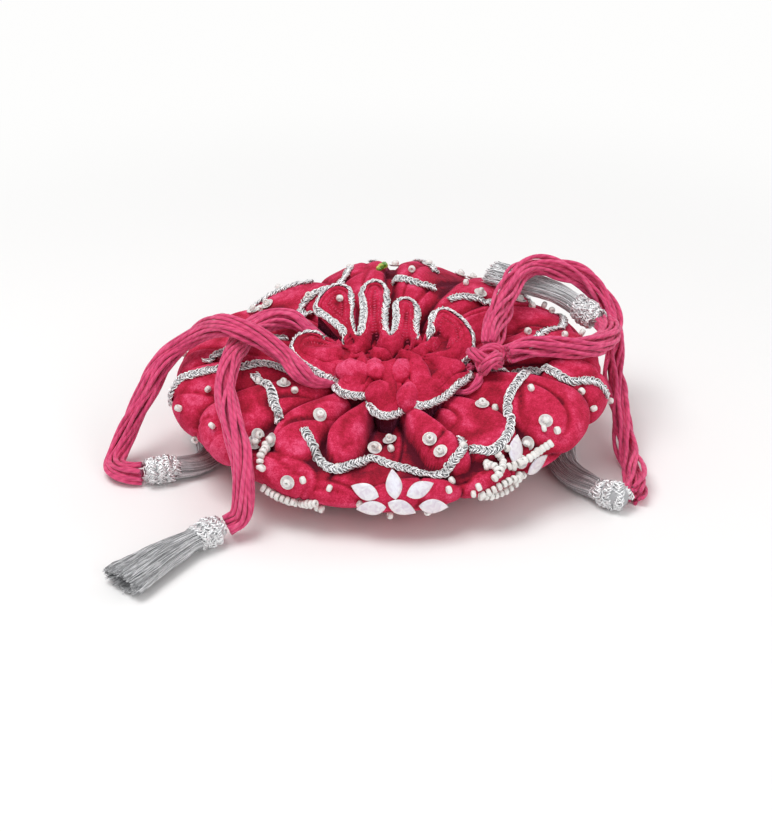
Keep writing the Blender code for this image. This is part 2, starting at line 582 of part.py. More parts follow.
def drawstring_turn(name, offset, finish):
    """One turn of a drawstring in the neck's groove."""
    middle = NECK_RADIUS + TURN_CLEARANCE + TURN_DIAMETER / 2
    sections = []
    for k in range(40):
        angle = 9.0 * k
        centre = polar(angle, middle, neck_level(angle, middle) + offset)
        out = polar(angle, 1.0, 0.0).normalized()
        half = TURN_DIAMETER / 2 * MM
        turns = [math.radians(d) for d in range(0, 360, 60)]
        sections.append([centre + out * half * math.cos(t) + Vector((0, 0, half * math.sin(t))) for t in turns])
    return loft(name, sections, finish, closed=True)


def knot(finish):
    """An overhand knot, drawn from its three-lobed path."""
    sections = []
    count = 42
    path = []
    for k in range(count):
        t = 2 * math.pi * k / count
        path.append(Vector((math.sin(t) + 2 * math.sin(2 * t), math.cos(t) - 2 * math.cos(2 * t), -1.15 * math.sin(3 * t))))
    for k in range(count):
        along = (path[(k + 1) % count] - path[k - 1]).normalized()
        side = along.cross(Vector((0, 0, 1))).normalized()
        up = side.cross(along)
        centre = Vector(KNOT_AT) + path[k] * KNOT_SCALE
        turns = [math.radians(d) for d in range(0, 360, 60)]
        sections.append([(centre + (side * math.cos(t) + up * math.sin(t)) * KNOT_STRAND_RADIUS) * MM for t in turns])
    return loft("knot_right", sections, finish, closed=True)


def seat(shape, angle, station, spin, lean=0.0):
    """Place a shape, a list of rings in mm about its own +Z axis, on the velvet, clear of it by the gap."""
    spot = belly_point(angle, station)
    outward = Vector((math.cos(math.radians(angle)), math.sin(math.radians(angle)), 0.2))
    normal = (velvet_surface.find_nearest(spot)[1] + outward * lean).normalized()
    level = Vector((0, 0, 1)).cross(normal)
    level = level.normalized() if level.length > 0.05 else Vector((1, 0, 0))
    upward = normal.cross(level)
    turn = math.radians(spin)
    x_axis = level * math.cos(turn) + upward * math.sin(turn)
    y_axis = normal.cross(x_axis)
    placed = [[spot + (x_axis * x + y_axis * y + normal * z) * MM for x, y, z in ring_points] for ring_points in shape]
    lift = 0.0
    for v in (v for ring_points in placed for v in ring_points):
        for share in (0.0, 0.35, 0.7, 1.0):
            below = spot + (v - normal * (v - spot).dot(normal) - spot) * share
            lift = max(lift, height_over(below, normal) - (v - spot).dot(normal) + GAP)
    return [[v + normal * lift for v in ring_points] for ring_points in placed]


def turned(profile, sides):
    """Rings of a turned shape from radius and height pairs."""
    return [[(r * math.cos(2 * math.pi * k / sides), r * math.sin(2 * math.pi * k / sides), z) for k in range(sides)]
            for r, z in profile]


def sequin(name, angle, station, finish):
    """A sequin held down by a seed bead on top of it."""
    bead = SEED_RADIUS
    top = SEQUIN_THICKNESS
    profile = [(SEQUIN_RADIUS, 0.0), (SEQUIN_RADIUS, top), (bead * 0.75, top), (bead, top + bead * 0.7),
               (bead * 0.8, top + bead * 1.4), (bead * 0.3, top + bead * 1.7)]
    return loft(name, seat(turned(profile, 10), angle, station, 0.0), finish)


def petal(name, angle, station, spin, finish):
    """A flat shell petal, pointed at its outer end."""
    outline = ((-0.5, 0.0), (-0.3, 0.36), (0.05, 0.5), (0.28, 0.32), (0.5, 0.0), (0.28, -0.32), (0.05, -0.5),
               (-0.3, -0.36))
    low = [(x * PETAL_LENGTH, y * PETAL_WIDTH, 0.0) for x, y in outline]
    high = [(x * 0.9, y * 0.86, PETAL_THICKNESS) for x, y, _ in low]
    return loft(name, seat([low, high], angle, station, spin, PETAL_LEAN), finish)


def bead_string(name, points, finish):
    """Seed beads strung close together and couched down, as one beaded tube."""
    run, normals = on_belly(points, SEED_RADIUS * 2 / 3)
    run, normals = run[: len(run) // 3 * 3 + 1], normals[: len(run) // 3 * 3 + 1]
    sections = []
    for i, (point, normal) in enumerate(zip(run, normals)):
        along = (run[min(i + 1, len(run) - 1)] - run[max(i - 1, 0)]).normalized()
        side = normal.cross(along).normalized()
        radius = SEED_RADIUS * (0.55 if i % 3 == 0 else 1.0)
        lift = max(height_over(point + (side * k + along * j) * SEED_RADIUS * MM, normal)
                   for k in (-0.8, 0.0, 0.8) for j in (-0.7, 0.0, 0.7))
        centre = point + normal * (lift + GAP + SEED_RADIUS * MM)
        turns = [math.radians(d) for d in range(0, 360, 60)]
        sections.append([centre + (side * math.cos(t) + normal * math.sin(t)) * radius * MM for t in turns])
    return loft(name, sections, finish)


def faceted_beads(finish):
    """Three faceted beads strung together."""
    profile = []
    for k in range(3):
        base = FACETED_LENGTH * (k - 1.5)
        profile += [(FACETED_RADIUS * 0.45, base), (FACETED_RADIUS, base + FACETED_LENGTH * 0.27),
                    (FACETED_RADIUS, base + FACETED_LENGTH * 0.73)]
    profile.append((FACETED_RADIUS * 0.45, FACETED_LENGTH * 1.5))
    rings = [[(z, x, y + FACETED_RADIUS) for x, y, z in ring_points] for ring_points in turned(profile, 6)]
    return loft("faceted_beads", seat(rings, *FACETED_BEADS_AT, 0.0), finish)


for old in list(bpy.data.objects):
    bpy.data.objects.remove(old, do_unlink=True)

velvet = material("velvet", VELVET_RED, 0.9)
yarn = material("cotton_yarn", YARN_PINK, 0.85)
silver = material("silver_thread", SILVER, 0.35, 0.8)
seed = material("white_seed_beads", SEED_WHITE, 0.25)
shell = material("mother_of_pearl", SHELL_WHITE, 0.2)
glass_green = material("green_beads", BEAD_GREEN, 0.1)

bag = velvet_bag(velvet)
velvet_surface = BVHTree.FromObject(bag, bpy.context.evaluated_depsgraph_get())
rim_braid(*gathered_columns(COLUMNS), silver)
for run_name, run_points in LATTICE_RUNS.items():
    lattice_braid(run_name, run_points, silver)
drawstring_turn("drawstring_turn_left", TURN_SPACING / 2, yarn)
drawstring_turn("drawstring_turn_right", -TURN_SPACING / 2, yarn)
for cord_name, cord_points in CORDS.items():
    cord(cord_name, cord_points, yarn)
knot(yarn)
for tassel_name, (cap_route, skirt_route) in TASSELS.items():
    tassel(tassel_name, cap_route, skirt_route, silver)
for number, (direction, station) in enumerate(SEQUINS, 1):
    sequin(f"sequin_{number}", direction, station, shell)
for petal_name, (spot, spin) in FLOWER_PETALS.items():
    petal("shell_petal_" + petal_name, *spot, spin, shell)
for string_name, string_points in BEAD_STRINGS.items():
    bead_string(string_name, string_points, seed)
faceted_beads(glass_green)
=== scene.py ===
import math

import bpy
import numpy as np
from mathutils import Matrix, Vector
from mathutils.bvhtree import BVHTree


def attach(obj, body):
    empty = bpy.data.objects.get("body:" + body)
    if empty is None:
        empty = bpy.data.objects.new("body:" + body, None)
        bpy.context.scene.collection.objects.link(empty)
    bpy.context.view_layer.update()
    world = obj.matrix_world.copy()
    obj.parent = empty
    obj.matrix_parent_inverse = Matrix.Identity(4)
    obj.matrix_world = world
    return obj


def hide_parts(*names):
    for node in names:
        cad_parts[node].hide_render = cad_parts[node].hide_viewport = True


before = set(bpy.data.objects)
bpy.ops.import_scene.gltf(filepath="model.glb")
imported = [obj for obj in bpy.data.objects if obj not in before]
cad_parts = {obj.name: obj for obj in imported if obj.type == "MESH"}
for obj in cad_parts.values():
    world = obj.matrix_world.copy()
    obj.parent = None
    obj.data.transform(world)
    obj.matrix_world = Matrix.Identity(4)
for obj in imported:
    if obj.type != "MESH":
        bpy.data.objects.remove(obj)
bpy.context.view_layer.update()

# Table, light and camera. The bag lies on a white card under one large softbox overhead, with weaker light from the
# front and the right, and it is seen from half above. Far from the bag the camera sees plain paper white.
MM = 0.001
PICTURE = (772, 832)
LENS, SENSOR, CAMERA_DISTANCE, CAMERA_RISE = 80.0, 36.0, 0.755, 30.0
CAMERA_TARGET, LIGHT_TARGET = Vector((-0.0018, 0.0, 0.0155)), Vector((0, 0, 0.03))
CARD_WHITE, PAPER_WHITE, PAPER_STRENGTH = (0.97, 0.965, 0.96, 1.0), (1.0, 0.998, 0.992, 1.0), 0.99
PAPER_STARTS, PAPER_FULL = 0.16, 0.5
SKY_WHITE, SKY_LIGHT, SKY_SEEN_MORE = (1.0, 1.0, 1.0, 1.0), 0.5, 0.45
LAMPS = {
    "softbox": ((-0.3, -0.1, 0.95), 0.55, 5.2), "front_fill": ((0.45, -0.75, 0.42), 0.5, 1.5),
    "right_fill": ((0.75, 0.3, 0.5), 0.5, 0.9),
}


class Wire:
    """A node's output. Sums on it add Math nodes, or Vector Math nodes where it is a vector or a colour."""

    def __init__(self, socket):
        self.socket, self.tree = socket, socket.id_data

    def other(self, name):
        return Wire(self.socket.node.outputs[name])

    def sum(self, operation, *values):
        flat = self.socket.type not in ("VECTOR", "RGBA")
        if operation == "MULTIPLY" and (not flat or isinstance(values[0], tuple)):
            vector, factor = (values[0], self) if flat else (self, values[0])
            return node(self.tree, "ShaderNodeVectorMath", {0: vector, 3: factor}, operation="SCALE")
        return node(self.tree, "ShaderNodeMath" if flat else "ShaderNodeVectorMath",
                    dict(enumerate((self, *values))), operation=operation)

    def __add__(self, value):
        return self.sum("ADD", value)

    def __sub__(self, value):
        return self.sum("SUBTRACT", value)

    def __mul__(self, value):
        return self.sum("MULTIPLY", value)

    def __truediv__(self, value):
        return self.sum("DIVIDE", value)


def fill(made, inputs):
    """Set or link a node's inputs, by name or number."""
    for key, value in inputs.items():
        socket = made.inputs[key] if isinstance(key, int) else next(
            s for s in made.inputs if s.name == key and s.enabled)
        if isinstance(value, Wire):
            made.id_data.links.new(value.socket, socket)
        else:
            socket.default_value = value


def node(tree, kind, inputs=None, take=0, **settings):
    """Add a node, set its properties and inputs, and give the output to take, by name or number."""
    made = tree.nodes.new(kind)
    for key, value in settings.items():
        setattr(made, key, value)
    fill(made, inputs or {})
    if made.outputs:
        return Wire(made.outputs[take] if isinstance(take, int) else next(
            s for s in made.outputs if s.name == take and s.enabled))


def noise(where, scale, detail=2.0, take=0, **more):
    return node(where.tree, "ShaderNodeTexNoise", {"Vector": where, "Scale": scale, "Detail": detail, **more}, take)


def ramp(shade, first, *between_and_last):
    """The colour that a shade has between stops of a position and a colour."""
    made = node(shade.tree, "ShaderNodeValToRGB", {"Fac": shade})
    stops = made.socket.node.color_ramp.elements
    stops[0].position, stops[1].position = first[0], between_and_last[-1][0]
    stops[0].color, stops[1].color = (*first[1], 1.0), (*between_and_last[-1][1], 1.0)
    for position, colour in between_and_last[:-1]:
        stops.new(position).color = (*colour, 1.0)
    return made


def bump(height, strength, distance):
    return node(height.tree, "ShaderNodeBump", {"Strength": strength, "Distance": distance, "Height": height})


def new_material(name):
    """A material with its shader and its object coordinates."""
    made = bpy.data.materials.new(name)
    made.use_nodes = True
    return made, made.node_tree.nodes["Principled BSDF"], node(made.node_tree, "ShaderNodeTexCoord", take="Object")


def material(name, surface, *values):
    """A material whose shader inputs come from a surface function of the object coordinates and the values."""
    made, shader, where = new_material(name)
    fill(shader, surface(where, *values))
    return made


def placed(name, data):
    made = bpy.data.objects.new(name, data)
    bpy.context.scene.collection.objects.link(made)
    return made


card, card_shader, card_where = new_material("white_card")
fill(card_shader, {"Base Color": CARD_WHITE, "Roughness": 0.85,
                   "Normal": bump(noise(card_where, 900.0), 0.05, 0.0002)})
card_tree = card.node_tree
card_place = node(card_tree, "ShaderNodeVectorMath", {0: card_where}, "Value", operation="LENGTH")
far_off = node(card_tree, "ShaderNodeMapRange", {
    "Value": card_place, "From Min": PAPER_STARTS, "From Max": PAPER_FULL}, interpolation_type="SMOOTHERSTEP")
paper = node(card_tree, "ShaderNodeEmission", {"Color": PAPER_WHITE, "Strength": PAPER_STRENGTH})
paper_seen = far_off * node(card_tree, "ShaderNodeLightPath", take="Is Camera Ray")
fill(card_tree.nodes["Material Output"], {"Surface": node(
    card_tree, "ShaderNodeMixShader", {0: paper_seen, 1: Wire(card_shader.outputs[0]), 2: paper})})
floor_mesh = bpy.data.meshes.new("card")
floor_mesh.from_pydata([(-2, -2, 0), (2, -2, 0), (2, 3, 0), (-2, 3, 0)], [], [(0, 1, 2, 3)])
floor_mesh.materials.append(card)
floor = placed("card", floor_mesh)

world = bpy.data.worlds.new("studio")
bpy.context.scene.world = world
world.use_nodes = True
ray = node(world.node_tree, "ShaderNodeLightPath", take="Is Camera Ray")
shown = ray.sum("MAXIMUM", ray.other("Is Glossy Ray")).sum("MAXIMUM", ray.other("Is Transmission Ray"))
fill(world.node_tree.nodes["Background"], {"Color": SKY_WHITE, "Strength": shown * SKY_SEEN_MORE + SKY_LIGHT})

for lamp_name, (place, size, watts) in LAMPS.items():
    lamp_data = bpy.data.lights.new(lamp_name, "AREA")
    lamp_data.energy, lamp_data.size = watts, size
    lamp = placed(lamp_name, lamp_data)
    lamp.location = place
    lamp.rotation_euler = (LIGHT_TARGET - Vector(place)).to_track_quat("-Z", "Y").to_euler()

camera_data = bpy.data.cameras.new("camera")
camera_data.lens, camera_data.sensor_width, camera_data.sensor_fit = LENS, SENSOR, "HORIZONTAL"
camera_data.clip_start, camera_data.clip_end = 0.01, 20.0
camera = placed("camera", camera_data)
camera_rise = math.radians(CAMERA_RISE)
camera.location = CAMERA_TARGET + CAMERA_DISTANCE * Vector((0, -math.cos(camera_rise), math.sin(camera_rise)))
camera.rotation_euler = (CAMERA_TARGET - camera.location).to_track_quat("-Z", "Y").to_euler()
bpy.context.scene.camera = camera
bpy.context.scene.view_settings.view_transform = "Standard"

# Tassels: four heads wound with knitted silver braid, each over a skirt of crinkled metallic thread. They are tied on
# the cords' ends and lie where they fell, three on the table and one on the bag.
CAP_RADIUS, CAP_SHARES = 5.4, (0.72, 1.0, 1.02, 0.86)
SILVER_THREADS, SILVER_THREAD_RADIUS = 720, 0.17
BRAID_SPACING, CAP_SPACING, SKIRT_SPACING = 0.0007, 0.7, 3.5
HEAD_SIDES, HEAD_SAMPLES, HEAD_TURNS = 28, 200, 4.3
HEAD_BRAID = {"Width": 0.0036, "Thickness": 0.0011, "Pitch": 0.006, "Curl": 0.0002, "Thread Radius": 0.00036,
              "Threads": 7, "Uneven": 0.0014}
SKIRT_STARTS, SKIRT_TOP, SKIRT_INSET, CORE_SHARE, CORE_SIDES = (-1.5, 2.3), (0.93, 0.88), 0.2, 0.84, 24
HEAD_INSET, WINDING_SLIP, WINDING_LIFT, FRAY, SKIRT_SEED = 0.5, 0.035, 0.25, 0.0014, 11
TASSELS = {
    "left_back": (
        ((-104.4, -31, 5.4), (-101.3, -30.6, 6.1), (-95.8, -29.2, 6.2), (-91.9, -27.4, 5.7)),
        ((-85.4, -24, 4.8, 6.0, 4.2), (-81, -20.2, 4.2, 6.2, 3.6), (-78.4, -14.4, 3.8, 6.2, 3.2),
         (-79.4, -6, 3.5, 6.2, 2.9), (-82, 3, 3.5, 6.2, 2.9), (-84.4, 12, 3.5, 6.4, 2.9)),
    ),
    "left_front": (
        ((-68.6, -75.1, 6.2), (-71.1, -76.4, 6.2), (-75.5, -80, 6.2), (-78.9, -83.2, 6.2)),
        ((-85.4, -89.4, 5.8, 6.5, 5.4), (-90.4, -94.6, 5.8, 7.6, 5.4), (-94.8, -99.4, 5.6, 8.6, 5.2),
         (-98.8, -103.8, 5.4, 9.6, 5), (-102.3, -107.6, 5.2, 10.4, 4.8), (-105, -110.6, 5, 10.6, 4.6)),
    ),
    "right_back": (
        ((93.6, 33.6, 45.8), (91, 36, 46.4), (86.5, 39.5, 48.2), (82.5, 42, 50.2)),
        ((75.5, 45.2, 53.6, 6.4, 4.4), (70, 47.5, 55, 7.4, 4.2), (64, 49.5, 56.2, 8.2, 4.2), (58, 52, 57, 8.6, 4.0),
         (52, 55, 57.6, 8.8, 3.8), (46, 58.5, 58, 8.8, 3.8)),
    ),
    "right_front": (
        ((98.4, -50.2, 5.6), (95.4, -51, 6.2), (90.4, -48.4, 6.2), (87.4, -44.6, 5.8)),
        ((81.6, -37, 4.8, 6.2, 4.4), (77.4, -30, 4.4, 6.6, 3.9), (75, -22, 4.2, 6.6, 3.6), (74.6, -13, 4, 6.6, 3.4),
         (75.2, -4, 4, 6.8, 3.4), (76, 5, 4, 7, 3.4)),
    ),
}


def cubic(p0, p1, p2, p3, t):
    """Catmull-Rom between p1 and p2."""
    return 0.5 * (2 * p1 + (p2 - p0) * t + (2 * p0 - 5 * p1 + 4 * p2 - p3) * t**2 + (3 * p1 - p0 - 3 * p2 + p3) * t**3)


def catmull(points, per_span, closed):
    """Catmull-Rom rows through a list of rows, per_span of them on each span."""
    rows = np.array(points, float)
    count = len(rows)
    made = []
    for i in range(count if closed else count - 1):
        if closed:
            p0, p1, p2, p3 = (rows[(i + k) % count] for k in (-1, 0, 1, 2))
        else:
            p0, p1, p2, p3 = rows[max(i - 1, 0)], rows[i], rows[i + 1], rows[min(i + 2, count - 1)]
        t = (np.arange(per_span) / per_span)[:, None]
        made.append(cubic(p0, p1, p2, p3, t))
    if not closed:
        made.append(rows[-1:])
    return np.vstack(made)


def walk(points, closed=False):
    """Distance walked at every point, and the whole length."""
    steps = np.linalg.norm(np.diff(np.vstack((points, points[:1])), axis=0), axis=1)
    at = np.concatenate(([0.0], np.cumsum(steps)))
    return at[:-1], at[-1] if closed else at[-2]


def spaced(points, spacing):
    """Rows evenly spaced along a smooth curve through the given ones; columns after the third are carried along."""
    fine = catmull(points, 16, False)
    at, total = walk(fine[:, :3])
    where = np.linspace(0.0, total, max(int(round(total / spacing)), 2) + 1)
    return np.stack([np.interp(where, at, fine[:, k]) for k in range(fine.shape[1])], axis=1)


def unit(vectors):
    return vectors / np.maximum(np.linalg.norm(vectors, axis=-1, keepdims=True), 1e-12)


def tangents_of(centres, closed=False):
    if closed:
        return unit(np.roll(centres, -1, axis=0) - np.roll(centres, 1, axis=0))
    return unit(np.gradient(centres, axis=0))


def frames_along(centres, closed=False):
    """Side and up vectors that turn as little as possible along a line; side x up is its direction."""
    along = tangents_of(centres, closed)
    side = np.empty_like(centres)
    first = np.cross(along[0], (0.0, 0.0, 1.0))
    side[0] = unit(first if np.linalg.norm(first) > 0.1 else np.cross(along[0], (1.0, 0.0, 0.0)))
    for i in range(1, len(centres)):
        side[i] = unit(side[i - 1] - along[i] * side[i - 1].dot(along[i]))
    if closed:
        last = unit(side[-1] - along[0] * side[-1].dot(along[0]))
        miss = math.atan2(last.dot(np.cross(along[0], side[0])), last.dot(side[0]))
        turn = (-miss * np.arange(len(centres)) / len(centres))[:, None]
        side = side * np.cos(turn) + np.cross(along, side) * np.sin(turn)
    return side, np.cross(along, side)


def carry(piece, slot, *nodes):
    """Fix a piece to the bag and hide the nodes that it replaces; the slot is not used."""
    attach(piece, "root")
    if nodes:
        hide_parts(*nodes)


def mesh_piece(name, points, faces, finish, uv=None):
    """A smooth-shaded mesh object from points, faces and, where given, one UV pair for each face corner."""
    mesh = bpy.data.meshes.new(name)
    mesh.from_pydata(np.asarray(points, float).tolist(), [], faces)
    if uv is not None:
        mesh.uv_layers.new(name="UVMap").data.foreach_set("uv", np.asarray(uv, float).ravel())
    mesh.shade_smooth()
    mesh.materials.append(finish)
    return placed(name, mesh)


def tube_faces(rows, columns, start=0, closed=False):
    """Quads of a tube of rows of points; closed joins its last row to its first."""
    row, column = np.meshgrid(np.arange(rows if closed else rows - 1), np.arange(columns), indexing="ij")
    above, after = (row + 1) % rows, (column + 1) % columns
    return (np.stack((row * columns + column, row * columns + after, above * columns + after,
                      above * columns + column), axis=-1).reshape(-1, 4) + start).tolist()


def lids(rows, columns, start=0):
    """The two end faces of such a tube."""
    last = start + (rows - 1) * columns
    return [list(range(start + columns - 1, start - 1, -1)), list(range(last, last + columns))]


def sweep(name, runs, finish, sides, closed=False):
    """One mesh of oval tubes. Each run gives centres, side and up vectors, and half widths along both."""
    points, faces, uv, start = [], [], [], 0
    turn = 2 * math.pi * np.arange(sides) / sides
    for centres, side, up, wide, high in runs:
        count = len(centres)
        wide, high = np.broadcast_to(wide, count), np.broadcast_to(high, count)
        rings = (centres[:, None] + side[:, None] * (wide[:, None] * np.cos(turn))[..., None]
                 + up[:, None] * (high[:, None] * np.sin(turn))[..., None])
        points.append(rings.reshape(-1, 3))
        quads = tube_faces(count, sides, start, closed)
        faces += quads
        at, total = walk(centres, closed)
        at = np.append(at, total) / MM
        low, column = np.divmod(np.arange(len(quads)), sides)
        u = np.stack((at[low], at[low], at[low + 1], at[low + 1]), axis=-1)
        v = np.stack((column, column + 1, column + 1, column), axis=-1) / sides
        uv.append(np.stack((u, v), axis=-1).reshape(-1, 2))
        if not closed:
            faces += lids(count, sides, start)
            uv += [np.zeros((sides, 2)), np.full((sides, 2), (at[-1], 0.0))]
        start += count * sides
    return mesh_piece(name, np.vstack(points), faces, finish, np.vstack(uv))


def path_piece(runs, closed=False):
    """Lines for a Geometry Nodes tree to follow. Each run gives centres, up vectors, and half widths along both."""
    edges, start = [], 0
    for run in runs:
        count = len(run[0])
        edges += [(start + i, start + (i + 1) % count) for i in range(count if closed else count - 1)]
        start += count
    mesh = bpy.data.meshes.new("path")
    mesh.from_pydata(np.vstack([run[0] for run in runs]).tolist(), edges, [])
    mesh.attributes.new("up", "FLOAT_VECTOR", "POINT").data.foreach_set(
        "vector", np.vstack([run[1] for run in runs]).ravel())
    for column, name in ((2, "half_width"), (3, "half_height")):
        values = np.concatenate([np.broadcast_to(run[column], len(run[0])) for run in runs])
        mesh.attributes.new(name, "FLOAT", "POINT").data.foreach_set("value", values)
    return placed("path", mesh)


def new_tree(name, sizes):
    """A Geometry Nodes tree with a geometry input, named sizes and a finish, and its inputs by name."""
    tree = bpy.data.node_groups.new(name, "GeometryNodeTree")
    kinds = {key: "Int" if isinstance(value, int) else "Float" for key, value in sizes.items()}
    kinds = {"Start": "Geometry", **kinds, "Finish": "Material"}
    for key, kind in kinds.items():
        socket = tree.interface.new_socket(key, in_out="INPUT", socket_type="NodeSocket" + kind)
        if key in sizes:
            socket.default_value = sizes[key]
    tree.interface.new_socket("Made", in_out="OUTPUT", socket_type="NodeSocketGeometry")
    start = node(tree, "NodeGroupInput")
    return tree, {key: start.other(key) for key in kinds}


def closed_tree(given, geometry):
    """The finished tree, whose geometry wears the given finish."""
    tree = geometry.tree
    real = node(tree, "GeometryNodeRealizeInstances", {"Geometry": geometry})
    dressed = node(tree, "GeometryNodeSetMaterial", {"Geometry": real, "Material": given["Finish"]})
    node(tree, "NodeGroupOutput", {"Made": dressed})
    return tree


def attribute(tree, name, kind="FLOAT"):
    return node(tree, "GeometryNodeInputNamedAttribute", {"Name": name}, "Attribute", data_type=kind)


def chance_of(tree, low, high, seed, **number):
    return node(tree, "FunctionNodeRandomValue", {"Min": low, "Max": high, "Seed": seed, **number}, "Value",
                data_type="FLOAT")


def ring_of(tree, resolution, radius):
    return node(tree, "GeometryNodeCurvePrimitiveCircle", {"Resolution": resolution, "Radius": radius}, mode="RADIUS")


def path_of(given, spacing=None):
    """The path that a tree starts from, as a curve, with points at an even spacing where one is given."""
    line = node(given["Start"].tree, "GeometryNodeMeshToCurve", {"Mesh": given["Start"]})
    if spacing is None:
        return line
    return node(line.tree, "GeometryNodeResampleCurve", {"Curve": line, "Length": spacing}, mode="LENGTH")


def many_of(curve, amount):
    """Copies of a curve, and the number of each."""
    many = node(curve.tree, "GeometryNodeDuplicateElements", {"Geometry": curve, "Amount": amount}, domain="SPLINE")
    return many, many.other("Duplicate Index")


def across_path(tree):
    """The path's up vector, and the one across it."""
    up = attribute(tree, "up", "FLOAT_VECTOR")
    return up, up.sum("CROSS_PRODUCT", node(tree, "GeometryNodeInputTangent")).sum("NORMALIZE")


def moved(geometry, offset):
    return node(geometry.tree, "GeometryNodeSetPosition", {"Geometry": geometry, "Offset": offset})


def threads_along(given, curves, sides):
    return node(curves.tree, "GeometryNodeCurveToMesh", {
        "Curve": curves, "Profile Curve": ring_of(curves.tree, sides, given["Thread Radius"]), "Fill Caps": True})


def grown(name, start, tree, finish, sizes):
    """Run a Geometry Nodes tree on a start piece, and keep the result as a plain mesh in the start's place."""
    modifier = start.modifiers.new(tree.name, "NODES")
    modifier.node_group = tree
    for socket in tree.interface.items_tree:
        if socket.in_out == "INPUT" and socket.name in {**sizes, "Finish": finish}:
            modifier[socket.identifier] = finish if socket.name == "Finish" else sizes[socket.name]
    bpy.context.view_layer.update()
    mesh = bpy.data.meshes.new_from_object(start.evaluated_get(bpy.context.evaluated_depsgraph_get()))
    mesh.name = name
    mesh.shade_smooth()
    piece = placed(name, mesh)
    bpy.data.objects.remove(start, do_unlink=True)
    return piece


def plait_tree():
    """Threads that cross from side to side and over one another along a path, as in a knitted braid."""
    tree, given = new_tree("plaited_braid", {"Width": 0.004, "Thickness": 0.001, "Pitch": 0.006, "Curl": 0.0,
                                             "Thread Radius": 0.0003, "Threads": 6, "Uneven": 0.0005})
    many, number = many_of(path_of(given, BRAID_SPACING), given["Threads"])
    share = number / given["Threads"]
    far = node(tree, "GeometryNodeSplineParameter", take="Length") / given["Pitch"]
    phase = (far * (number.sum("MODULO", 2.0) + 1.0) + share) * (2 * math.pi)
    swing = phase.sum("SINE")
    lift = (phase * 2.0).sum("SINE") * given["Thickness"] * 0.5 - given["Curl"] * (swing * swing)
    up, side = across_path(tree)
    place = node(tree, "GeometryNodeInputPosition") + share * (3.1, 1.7, 0.9)
    slack = noise(place, 300.0, 1.0, "Color") - (0.5, 0.5, 0.5)
    offset = side * (swing * given["Width"] * 0.5) + up * lift + slack * (given["Uneven"] * 2.0)
    return closed_tree(given, threads_along(given, moved(many, offset), 5))


def skirt_tree():
    """Loose threads around a path, each with a place of its own, a slight wave, its own length and tone."""
    tree, given = new_tree("thread_skirt", {"Threads": 300, "Thread Radius": 0.00022, "Fray": 0.0012, "Seed": 1})
    many, number = many_of(path_of(given), given["Threads"])

    def chance(low, high, step):
        return chance_of(tree, low, high, given["Seed"] + float(step), ID=number)

    turn = chance(0.0, 2 * math.pi, 0)
    reach = chance(0.25, 1.0, 40).sum("POWER", 0.35)
    up, side = across_path(tree)
    along = node(tree, "GeometryNodeSplineParameter", take="Factor")
    where = node(tree, "ShaderNodeCombineXYZ", {0: number * 7.31, 1: along * 2.6, 2: given["Seed"]})
    wave = noise(where, 1.0, 1.0, "Color") - (0.5, 0.5, 0.5)
    offset = (side * (turn.sum("COSINE") * reach * attribute(tree, "half_width"))
              + up * (turn.sum("SINE") * reach * attribute(tree, "half_height"))
              + wave * (along * 3.0 * given["Fray"]))
    toned = node(tree, "GeometryNodeStoreNamedAttribute", {
        "Geometry": moved(many, offset), "Name": "tone", "Value": chance(0.0, 1.0, 120)}, data_type="FLOAT")
    cut = node(tree, "GeometryNodeTrimCurve", {"Curve": toned, "Start": 0.0, "End": chance(0.93, 1.0, 80)},
               mode="FACTOR")
    return closed_tree(given, threads_along(given, cut, 3))


def silver_surface(where, dark, bright, grain, by_thread=0.0, metal=0.75):
    """Metallic thread: bright and dark specks at the thread's scale, which are painted glints and painted dark
    reflections, with a faint cool drift.
    """
    specks = noise(where, grain, 3.0, Roughness=0.65)
    tone = node(where.tree, "ShaderNodeAttribute", take="Fac", attribute_name="tone")
    # The specks' dark and bright colours stand for the thread's dark reflections and glints: painted reflection and
    # painted glint.
    colour = ramp(specks * (1.0 - by_thread) + tone * by_thread, (0.36, dark), (0.6, bright))
    drifted = node(where.tree, "ShaderNodeMix", {"Factor": noise(where, 70.0) * 0.35, "A": colour,
                                                 "B": (0.42, 0.43, 0.46, 1.0)}, "Result", data_type="RGBA")
    return {"Base Color": drifted, "Roughness": specks * 0.3 + 0.22, "Metallic": metal,
            "Normal": bump(specks, 0.4, 0.0002)}


